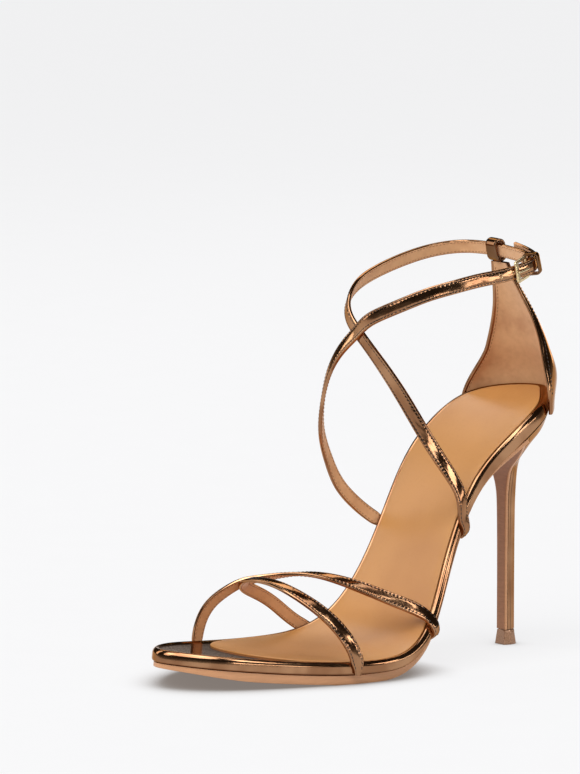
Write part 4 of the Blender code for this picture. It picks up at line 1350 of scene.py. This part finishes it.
class SANDAL_OT_sole(bpy.types.Operator):
    """Builds the outsole with its flap down the heel's breast"""

    bl_idname = "sandal.sole"
    bl_label = "Outsole"

    def execute(self, context):
        colours = context.scene.sandal_colours
        sections = []
        for turn in rim_turns():
            along = (1 - math.cos(turn)) / 2
            if along > LIP_ALONG - LIP_CLEAR:
                break
            start, margin = board_thickness(along) + GAP, outsole_margin(along)
            steps = self.edge_steps(outsole_thickness(along))
            edge = [(margin + inset, start + deep) for deep, inset in steps]
            inner, outer = both_sides(turn, edge)
            for tread in (inner[-1], outer[-1]):
                if tread[2] < TREAD_FLAT:
                    tread[2] = 0
            sections.append(self.boxed(inner, outer))
        breast, half, middle = (rows[::-1] for rows in FORM.breast_rows())
        before = (inner[0][1:] + outer[0][1:]) / 2
        lead = unit(np.gradient(np.concatenate([[before], breast]), axis=0))[1:]
        outward = np.stack([lead[:, 1], -lead[:, 0]], -1)
        waist = outsole_thickness(LIP_ALONG)
        for i, (place, out) in enumerate(zip(breast, outward)):
            depth = waist + (BREAST_FLAP - waist) * ease(i, 0, FLAP_SHARE * len(breast))
            steps = self.edge_steps(depth)
            inner, outer = (
                [np.array([middle[i] + side * (half[i] - inset), *(place + out * (GAP + deep))])
                 for deep, inset in steps] for side in (-1, 1))
            sections.append(self.boxed(inner, outer))
        # The tread and the breast flap's face take the darker sole colour: painted shade
        finishes = [sole_leather("sole_edge_leather", colours.sole_edge, 0.86, 0.0),
                    sole_leather("sole_shaded_face_leather", colours.sole_shaded_face, 0.82, 0.3)]
        band = [0] * (len(inner) - 1) + [1] * (len(FILL) + 1)
        band += [0] * (len(sections[0]) - len(band))
        made = lofted("outsole_leather", sections, finishes, caps=(False, True), band=band)
        placed(made, "outsole_leather", ("outsole",))
        return {"FINISHED"}

    def edge_steps(self, depth):
        """Depth and inset down the outsole's cut edge, which is eased at its foot."""
        ease_in = 0.3 * OUTSOLE_EDGE
        return [(0, 0), (depth / 2, 0), (depth - OUTSOLE_EDGE, 0),
                (depth - ease_in, ease_in), (depth, OUTSOLE_EDGE)]

    def boxed(self, inner, outer):
        """A section closed below and above between its inner and its outer edge."""
        return inner + filled(inner[-1], outer[-1]) + outer[::-1] + filled(outer[0], inner[0])


class SANDAL_OT_heel(bpy.types.Operator):
    """Builds the covered heel and its hard tip"""

    bl_idname = "sandal.heel"
    bl_label = "Heel"

    def execute(self, context):
        colours = context.scene.sandal_colours
        rings = FORM.rings()
        side = HEEL_SIDES + 1
        run = np.array([run_along(ring[:side]) for ring in rings])
        edge = np.minimum(run, run[:, -1:] - run)
        breast = np.linalg.norm(rings[:, 0] - rings[:, side - 1], axis=-1)
        inset = np.minimum(FILL, 1 - FILL) * breast[:, None]
        uv = np.stack([rings[..., 2], np.concatenate([edge, -inset], axis=1)], -1)
        finish = self.covered(colours)
        made = lofted("heel_cover", rings, [finish], uv, caps=(True, False))
        mesh = bmesh.new()
        mesh.from_mesh(made.data)
        top = rings[-1]
        rows = []
        for j in range(HEEL_SIDES // 2 + 1):
            near, far = top[j], top[HEEL_SIDES - j]
            rows.append([mesh.verts.new(point) for point in [near] + filled(near, far) + [far]])
        for low, high in zip(rows[:-1], rows[1:]):
            for j in range(len(low) - 1):
                mesh.faces.new((low[j], low[j + 1], high[j + 1], high[j]))
        bpy.data.objects.remove(made, do_unlink=True)
        made = finished("heel_cover", mesh, [finish])
        placed(made, "heel_cover", ("heel",))
        self.tip(colours)
        return {"FINISHED"}

    def covered(self, colours):
        """Mirror leather drawn round the heel, its seam a little behind the breast's edge."""
        made, colour, _ = mirror_film(colours, "heel_leather", 60)
        across = made.coordinates(source="UV").part(1)
        seam = 1 - made.step(abs(across - HEEL_SEAM), 0.08 * MM, 0.26 * MM)
        colour = made.mixed(seam * 0.75, colour, (0.02, 0.012, 0.007))
        wave = made.bumped(made.noise(90, 1.0, 0.5, (1, 1, 0.35)), 0.05 * MM)
        lap = made.step(across, HEEL_SEAM - 0.15 * MM, HEEL_SEAM + 0.15 * MM)
        lap = made.bumped(lap, 0.12 * MM, below=wave)
        return mirror_done(made, colour, lap, 0.11, 0.13)

    def tip(self, colours):
        """The faceted tip, its edges eased."""
        x = column(TIP, TIP_COLUMNS, "half") * TIP_HALF_WIDTH
        y = column(TIP, TIP_COLUMNS, "back") * TIP_LENGTH
        x, y = np.concatenate([x, -x[::-1]]), np.concatenate([y, y[::-1]])
        rings = []
        for z in np.linspace(0, TIP_HEIGHT, 7):
            scale = 1 + (TIP_TAPER - 1) * z / TIP_HEIGHT
            rings.append(np.stack([x * scale, y * scale, np.full(len(x), z)], -1))
        made = lofted("heel_tip", rings, [tip_plastic(colours)], caps=(True, True))
        modified(made, "BEVEL", width=TIP_EASE, segments=2, limit_method="ANGLE",
                 angle_limit=math.radians(20))
        placed(smoothed(made, 25), "heel_tip", ("top_piece",))


class SANDAL_OT_toe_straps(bpy.types.Operator):
    """Builds the two straps that cross over the toes"""

    bl_idname = "sandal.toe_straps"
    bl_label = "Toe straps"

    def execute(self, context):
        sizes, finishes = context.scene.sandal_sizes, sewing_finishes(context)
        model = stitch_model(sizes)
        sewn_strap("toe_strap", TOE_OVER, "toe_straps", finishes, sizes, model)
        sewn_strap("ball_strap", TOE_UNDER, "toe_straps", finishes, sizes, model)
        bpy.data.objects.remove(model, do_unlink=True)
        return {"FINISHED"}


class SANDAL_OT_ankle_straps(bpy.types.Operator):
    """Builds the two ankle straps, with the holes for the buckle and their eyelets"""

    bl_idname = "sandal.ankle_straps"
    bl_label = "Ankle straps"

    def execute(self, context):
        sizes, finishes = context.scene.sandal_sizes, sewing_finishes(context)
        model = stitch_model(sizes)
        folds = [(HELD + place, depth, length) for place, depth, length in BUCKLE_FOLDS]
        front = sewn_strap(
            "front_ankle_strap", ANKLE_FRONT, "ankle_straps", finishes, sizes, model, folds)
        sewn_strap("back_ankle_strap", ANKLE_BACK, "ankle_straps", finishes, sizes, model)
        bpy.data.objects.remove(model, do_unlink=True)
        gilt = gilt_metal(context.scene.sandal_colours)
        for i in range(HOLE_COUNT):
            middle, out, width = ANKLE_FRONT.frame(PRONG_HOLE - i * HOLE_PITCH)
            place = turned_to(middle, width, np.cross(out, width), out)
            self.cut(front, HOLE_RADIUS if i else PRONG_HOLE_RADIUS, place)
            if i:
                self.eyelet(sizes, gilt, place, i)
        smoothed(front)
        return {"FINISHED"}

    def cut(self, strap, radius, place):
        """Cut one round hole through a strap."""
        tool = modelled(bpy.ops.mesh.primitive_cylinder_add, vertices=32, radius=radius,
                        depth=4 * STRAP_THICKNESS)
        tool.data.transform(place)
        modified(strap, "BOOLEAN", operation="DIFFERENCE", solver="EXACT", object=tool)
        bpy.data.objects.remove(tool, do_unlink=True)

    def eyelet(self, sizes, gilt, place, number):
        """A pressed metal ring round a hole, on the outer face."""
        made = modelled(bpy.ops.mesh.primitive_torus_add, major_segments=40, minor_segments=12,
                        major_radius=sizes.eyelet_radius, minor_radius=sizes.eyelet_wire / 2)
        edit_all()
        bpy.ops.transform.resize(value=(1, 1, EYELET_FLAT))
        bpy.ops.transform.translate(value=(0, 0, STRAP_THICKNESS / 2 + STRAP_CROWN))
        bpy.ops.object.mode_set(mode="OBJECT")
        made.data.materials.append(gilt)
        placed(smoothed(made), f"eyelet_{number}", ("ankle_straps",), place)


def sewing_finishes(context):
    """The materials of the straps and their thread, made once."""
    colours, sizes = context.scene.sandal_colours, context.scene.sandal_sizes
    have = bpy.data.materials
    if "strap_leather" not in have:
        bronze_leather(colours, "strap_leather", ripple=0.22 * MM,
                       edge=STRAP_WIDTH / 2 - sizes.stitch_inset, pitch=sizes.stitch_pitch)
        lining_leather(colours)
        thread_finish("dark_thread", colours.thread)
        thread_finish("tan_thread", colours.lining_thread)
    return {
        "strap": [have["strap_leather"], have["lining_leather"]],
        "thread": have["dark_thread"],
        "lining_thread": have["tan_thread"],
    }


class SANDAL_OT_counter(bpy.types.Operator):
    """Builds the tall counter behind the heel and the loop on its top"""

    bl_idname = "sandal.counter"
    bl_label = "Counter and loop"

    def execute(self, context):
        colours, sizes = context.scene.sandal_colours, context.scene.sandal_sizes
        finishes = sewing_finishes(context)
        lining = finishes["strap"][1]
        middle, out, width = ANKLE_BACK.frame(ANKLE_BACK.at_row(LOOP_POINT))
        opening = (STRAP_WIDTH + 2 * LOOP_SLACK, STRAP_THICKNESS + 2 * LOOP_SLACK)
        # The loop and the keeper take the mirror leather at half its light: painted shade
        dark = bronze_leather(colours, "loop_shaded_leather", shade=0.5)
        leather_ring("counter_loop_leather", "counter_loop", middle, (width, out), opening,
                     LOOP_BAND, LOOP_THICKNESS, [dark, lining], bend=LOOP_BEND)
        loop_low = middle[2] - abs(width[2]) * (opening[0] / 2 + LOOP_THICKNESS)
        grid, face, run = self.sheet(loop_low)
        skin = face * COUNTER_WALL / 2
        turns = np.linspace(0, math.pi, COUNTER_END_STEPS)[1:-1, None]
        across, bulge = np.cos(turns), COUNTER_END_BULGE * np.sin(turns)
        tangent = unit(np.gradient(grid, axis=1))
        rings, uv = [], []
        for row, half, lead, gone in zip(grid, skin, tangent, run):
            end = row[-1] + half[-1] * across + lead[-1] * bulge
            start = row[0] - half[0] * across - lead[0] * bulge
            rings.append([*(row + half), *end, *(row - half)[::-1], *start])
            near, zero = np.minimum(gone, gone[-1] - gone), np.zeros(len(end))
            uv.append([(row[0][2], part) for part in [*near, *zero, *near[::-1], *zero]])
        count = grid.shape[1]
        band = [0] * (count + len(end) + COUNTER_FOLD) + [1] * (count - 1 - 2 * COUNTER_FOLD)
        band += [0] * (len(rings[0]) - len(band))
        bronze = bronze_leather(colours, "counter_leather", ripple=0.04 * MM, edge=COUNTER_SEAM,
                                pitch=sizes.stitch_pitch)
        made = lofted("counter_leather", rings, [bronze, lining], np.array(uv),
                      caps=(True, True), band=band)
        placed(made, "counter_leather", ("counter",))
        self.stitches(sizes, finishes, grid, skin, run)
        return {"FINISHED"}

    def sheet(self, loop_low):
        """The counter's middle surface, which way it faces, and the run along each row."""
        wings = (RIM.side(COUNTER_WING_INNER, False), RIM.side(COUNTER_WING_OUTER, True))
        turns = np.linspace(*wings, COUNTER_STEPS + 1)
        drop = board_thickness(1.0) - FOOT_LIFT
        foot = RIM.offset(turns, -(GAP + COUNTER_WALL / 2), drop)
        back_foot = foot[COUNTER_STEPS // 2]
        height = loop_low - GAP - back_foot[2]
        shares = [column(COUNTER, COUNTER_COLUMNS, name) for name in COUNTER_COLUMNS[1:]]
        table = Smooth(column(COUNTER, COUNTER_COLUMNS, "rise"), np.stack(shares, -1))
        grid, runs = [], []
        for rise in np.linspace(0, 1, COUNTER_ROWS + 1):
            lean, half, depth, shift = table(rise)
            angle = np.linspace(-math.pi / 2, math.pi / 2, COUNTER_STEPS + 1)
            x = (shift + half * np.sin(angle)) * COUNTER_HALF_WIDTH
            y = back_foot[1] - lean * COUNTER_LEAN
            y = y - depth * COUNTER_HALF_WIDTH * (1 - np.cos(angle))
            settle, level = ease(rise, 0, 0.40), ease(rise, 0, 0.7)
            x = foot[:, 0] * (1 - settle) + x * settle
            y = foot[:, 1] * (1 - settle) + y * settle
            z = foot[:, 2] * (1 - level) + back_foot[2] * level + rise * height
            row = np.stack([x, y, z], -1)
            gone = run_along(row)
            between = np.linspace(COUNTER_RIM[-1], gone[-1] - COUNTER_RIM[-1], COUNTER_SPAN)[1:-1]
            reach = np.concatenate([COUNTER_RIM, between, (gone[-1] - COUNTER_RIM)[::-1]])
            grid.append(points_at(reach, gone, row))
            runs.append(reach)
        grid = np.array(grid)
        out = unit(np.cross(np.gradient(grid, axis=1), np.gradient(grid, axis=0)))
        return grid, out * np.sign(out[:, out.shape[1] // 2, 1])[:, None, None], np.array(runs)

    def stitches(self, sizes, finishes, grid, skin, run):
        """Stitches up both edges of the counter, outside and inside."""
        seam = int(np.argmin(np.abs(run[0] - COUNTER_SEAM)))
        pitch, model = sizes.stitch_pitch, stitch_model(sizes)
        for side, name, key, slot in (
                (1, "counter_stitches", "thread", "bronze_leather"),
                (-1, "counter_lining_stitches", "lining_thread", "tan_leather")):
            matrices = []
            for j in (seam, grid.shape[1] - 1 - seam):
                line = grid[:, j] + skin[:, j] * side
                gone = run_along(line)
                for at in np.arange(5 * pitch, gone[-1] - pitch, pitch):
                    place = points_at(at, gone, line)
                    lead = unit(points_at(at + AHEAD, gone, line) - place)
                    out = unit(skin[int(np.argmin(np.abs(gone - at))), j])
                    wide = unit(np.cross(out, lead))
                    matrices.append(turned_to(place, wide, np.cross(lead, wide), lead))
            placed(stamped(name, model, matrices, finishes[key]), name, ("counter",))
        bpy.data.objects.remove(model, do_unlink=True)


class SANDAL_OT_buckle(bpy.types.Operator):
    """Builds the buckle, its prong and the keeper behind it"""

    bl_idname = "sandal.buckle"
    bl_label = "Buckle"

    def execute(self, context):
        sizes, finishes = context.scene.sandal_sizes, sewing_finishes(context)
        gilt = bpy.data.materials.get("gilt_metal") or gilt_metal(context.scene.sandal_colours)
        half = BUCKLE_LENGTH / 2 - BUCKLE_BAR / 2
        over = STRAP_THICKNESS / 2 + STRAP_CROWN + GAP + BUCKLE_BAR / 2
        front, out, width = ANKLE_FRONT.frame(HELD - half)
        front = front + out * over
        back, out_back, _ = ANKLE_FRONT.frame(HELD + half)
        back = back - out_back * (over + SEAM_BITE)
        long = unit(front - back)
        width = unit(width - long * (width @ long))
        face = np.cross(long, width)
        self.frame_piece(sizes, gilt, front, back, (long, width, face))
        self.prong(gilt, front, back, (long, width, face))
        place, out, width = ANKLE_FRONT.frame(HELD + BUCKLE_LENGTH / 2 + KEEPER_STEP)
        step = STRAP_THICKNESS + STRAP_CROWN + KEEPER_SLACK
        opening = (STRAP_WIDTH + 4 * KEEPER_SLACK, 2 * step + 2 * KEEPER_SLACK)
        # The keeper takes the loop's darker copy of the mirror leather: painted shade
        dark = bpy.data.materials["loop_shaded_leather"]
        leather_ring("keeper_leather", "keeper", place - out * step / 2, (width, out), opening,
                     KEEPER_BAND, KEEPER_THICKNESS, [dark, finishes["strap"][1]])
        return {"FINISHED"}

    def frame_piece(self, sizes, gilt, front, back, axes):
        """The frame: a plate with its middle cut out, a broad front bar and eased edges."""
        long, width, face = axes
        reach = float(np.linalg.norm(front - back)) / 2 + BUCKLE_BAR / 2
        made = modelled(bpy.ops.mesh.primitive_plane_add, size=2)
        edit_all()
        bpy.ops.transform.resize(value=(reach, BUCKLE_HEIGHT / 2, 1))
        bpy.ops.mesh.inset(thickness=BUCKLE_BAR, depth=0)
        bpy.ops.mesh.delete(type="FACE")
        bpy.ops.object.mode_set(mode="OBJECT")
        for point in made.data.vertices:
            if max(reach - 2.5 * BUCKLE_BAR, 0) < point.co.x < reach - 0.5 * BUCKLE_BAR:
                point.co.x = reach - sizes.front_bar
        edit_all()
        bpy.ops.mesh.extrude_region_move(
            TRANSFORM_OT_translate={"value": (0, 0, PLATE_THICKNESS)})
        bpy.ops.mesh.select_all(action="SELECT")
        bpy.ops.transform.translate(value=(0, 0, -PLATE_THICKNESS / 2))
        bpy.ops.mesh.normals_make_consistent(inside=False)
        bpy.ops.object.mode_set(mode="OBJECT")
        self.eased(made, BUCKLE_BAR, 5, True)
        self.eased(made, PLATE_EASE, 3, False)
        made.data.materials.append(gilt)
        place = turned_to((front + back) / 2, long, width, face)
        placed(smoothed(made, 50), "buckle_frame", ("buckle",), place)

    def eased(self, made, width, segments, corners):
        """Round the outer corners of the frame, or all of its edges."""
        alone(made)
        bpy.ops.object.mode_set(mode="EDIT")
        mesh = bmesh.from_edit_mesh(made.data)
        far = max(abs(point.co.x) for point in mesh.verts)
        tall = max(abs(point.co.y) for point in mesh.verts)
        for edge in mesh.edges:
            a, b = (point.co for point in edge.verts)
            upright = abs(a.z - b.z) > 0.5 * BUCKLE_BAR
            outer = abs(abs(a.x) - far) < WELD and abs(abs(a.y) - tall) < WELD
            flat = edge.calc_face_angle(0) > math.radians(50)
            edge.select_set(upright and outer if corners else flat)
        bmesh.update_edit_mesh(made.data)
        bpy.ops.mesh.bevel(offset=width, segments=segments, affect="EDGES")
        bpy.ops.object.mode_set(mode="OBJECT")

    def prong(self, gilt, front, back, axes):
        """The prong: up through the strap's hole and along to rest on the front bar."""
        long, width, face = axes
        clear = (BUCKLE_BAR + PRONG_THICKNESS) / 2 + GAP
        on_strap = STRAP_THICKNESS / 2 + STRAP_CROWN + GAP + PRONG_THICKNESS / 2
        middle, out, _ = ANKLE_FRONT.frame(PRONG_HOLE)
        points = np.array([
            back + long * clear,
            middle - out * on_strap,
            middle + out * on_strap,
            front + face * clear,
            front + face * clear + long * PRONG_THICKNESS,
        ])
        run = run_along(points)
        line = points_at(np.linspace(0, run[-1], PRONG_POINTS), run, points)
        for _ in range(PRONG_PASSES):
            line[1:-1] = (line[:-2] + 2 * line[1:-1] + line[2:]) / 4
        turns = np.linspace(0, 2 * math.pi, PRONG_SIDES + 1)[:-1, None]
        rings = []
        for i, (place, heading) in enumerate(zip(line, unit(np.gradient(line, axis=0)))):
            up = np.cross(width, heading) * PRONG_FLAT
            share = min(i, len(line) - 1 - i) / PRONG_END_ROWS
            round_end = math.sqrt(max(1 - (1 - min(share, 1)) ** 2, 0.02))
            radius = PRONG_THICKNESS / 2 * round_end * (1 - PRONG_TAPER * i / len(line))
            rings.append(place + (width * np.cos(turns) + up * np.sin(turns)) * radius)
        made = lofted("buckle_prong", rings, [gilt], caps=(True, True))
        placed(made, "buckle_prong", ("prong",))


class SANDAL_OT_stage(bpy.types.Operator):
    """Sets the pale floor, the soft lights and the camera"""

    bl_idname = "sandal.stage"
    bl_label = "Studio"

    def execute(self, context):
        scene = context.scene
        floor = modelled(bpy.ops.mesh.primitive_plane_add, size=FLOOR_SIZE)
        floor.name = "studio_floor"
        floor.data.materials.append(floor_finish(scene.sandal_colours))
        self.lights()
        self.world(scene)
        self.camera(scene)
        scene.view_settings.view_transform = "Standard"
        return {"FINISHED"}

    def lights(self):
        """A broad soft sun, and panels round the shoe for the mirror leather to show."""
        for name, turn, rise, distance, wide, tall, radiance in PANELS:
            data = bpy.data.lights.new(f"{name}_panel", "AREA")
            data.shape = "RECTANGLE"
            data.size, data.size_y = wide, tall
            data.energy = radiance * math.pi * wide * tall
            self.hung(data, self.aim(turn, rise), distance)
        sun = bpy.data.lights.new("soft_sun", "SUN")
        sun.energy = SUN_POWER
        sun.angle = math.radians(SUN_SPREAD)
        self.hung(sun, self.aim(*SUN_AIM), 1)

    def aim(self, turn, rise):
        """The direction from the shoe to a light or the camera at a turn and a rise."""
        turn, rise = math.radians(turn), math.radians(rise)
        level = math.cos(rise)
        return Vector((math.sin(turn) * level, -math.cos(turn) * level, math.sin(rise)))

    def hung(self, data, aim, distance):
        """Put a light at a distance from the shoe, shining back along its direction."""
        lamp = bpy.data.objects.new(data.name, data)
        lamp.location = LIGHT_TARGET + aim * distance
        lamp.rotation_euler = aim.to_track_quat("Z", "Y").to_euler()
        bpy.context.scene.collection.objects.link(lamp)

    def world(self, scene):
        """A dim studio room, so that mirror leather has something dark to show."""
        scene.world = bpy.data.worlds.new("studio")
        scene.world.use_nodes = True
        tree = scene.world.node_tree
        place = tree.nodes.new("ShaderNodeTexCoord")
        split = tree.nodes.new("ShaderNodeSeparateXYZ")
        ramp = tree.nodes.new("ShaderNodeValToRGB")
        for element, tone in zip(ramp.color_ramp.elements, ROOM_TONES):
            element.position, element.color = tone
        tree.links.new(place.outputs["Generated"], split.inputs[0])
        tree.links.new(split.outputs["Z"], ramp.inputs["Fac"])
        tree.links.new(ramp.outputs["Color"], tree.nodes["Background"].inputs["Color"])

    def camera(self, scene):
        """The photograph's own frame."""
        back = self.aim(VIEW_TURN, VIEW_RISE)
        turn = math.radians(VIEW_TURN)
        right = Vector((math.cos(turn), math.sin(turn), 0))
        up = back.cross(right)
        aside = (ORIGIN_PIXEL[0] - PHOTO_WIDTH / 2) / VIEW_PULL * VIEW_DISTANCE
        above = (ORIGIN_PIXEL[1] - PHOTO_HEIGHT / 2) / VIEW_PULL * VIEW_DISTANCE
        data = bpy.data.cameras.new("camera")
        data.sensor_width = SENSOR
        data.sensor_fit = "HORIZONTAL"
        data.lens = VIEW_PULL * SENSOR / PHOTO_WIDTH
        data.clip_start, data.clip_end = CLIP
        camera = bpy.data.objects.new("camera", data)
        scene.collection.objects.link(camera)
        place = back * VIEW_DISTANCE - right * aside + up * above
        camera.matrix_world = turned_to(place, right, up, back)
        scene.camera = camera


class SANDAL_PT_panel(bpy.types.Panel):
    """Lists the pieces of the sandal with their sizes and colours"""

    bl_label = "Sandal"
    bl_idname = "SANDAL_PT_panel"
    bl_space_type = "VIEW_3D"
    bl_region_type = "UI"
    bl_category = "Sandal"

    def draw(self, context):
        for operator in OPERATORS:
            self.layout.operator(operator.bl_idname)
        for group in (context.scene.sandal_sizes, context.scene.sandal_colours):
            box = self.layout.box()
            for name in group.bl_rna.properties.keys():
                if name not in ("rna_type", "name"):
                    box.prop(group, name)


OPERATORS = (
    SANDAL_OT_footbed,
    SANDAL_OT_sole,
    SANDAL_OT_heel,
    SANDAL_OT_toe_straps,
    SANDAL_OT_ankle_straps,
    SANDAL_OT_counter,
    SANDAL_OT_buckle,
    SANDAL_OT_stage,
)
CLASSES = (SandalSizes, SandalColours, *OPERATORS, SANDAL_PT_panel)


def register():
    """Register the classes and hang the sizes and colours on the scene."""
    for item in CLASSES:
        bpy.utils.register_class(item)
    bpy.types.Scene.sandal_sizes = PointerProperty(type=SandalSizes)
    bpy.types.Scene.sandal_colours = PointerProperty(type=SandalColours)


def unregister():
    """Take the classes and the properties away again."""
    del bpy.types.Scene.sandal_colours
    del bpy.types.Scene.sandal_sizes
    for item in reversed(CLASSES):
        bpy.utils.unregister_class(item)


def main():
    """Build every piece."""
    register()
    bpy.ops.sandal.footbed()
    bpy.ops.sandal.sole()
    bpy.ops.sandal.heel()
    bpy.ops.sandal.toe_straps()
    bpy.ops.sandal.ankle_straps()
    bpy.ops.sandal.counter()
    bpy.ops.sandal.buckle()
    bpy.ops.sandal.stage()


if __name__ == "__main__":
    main()
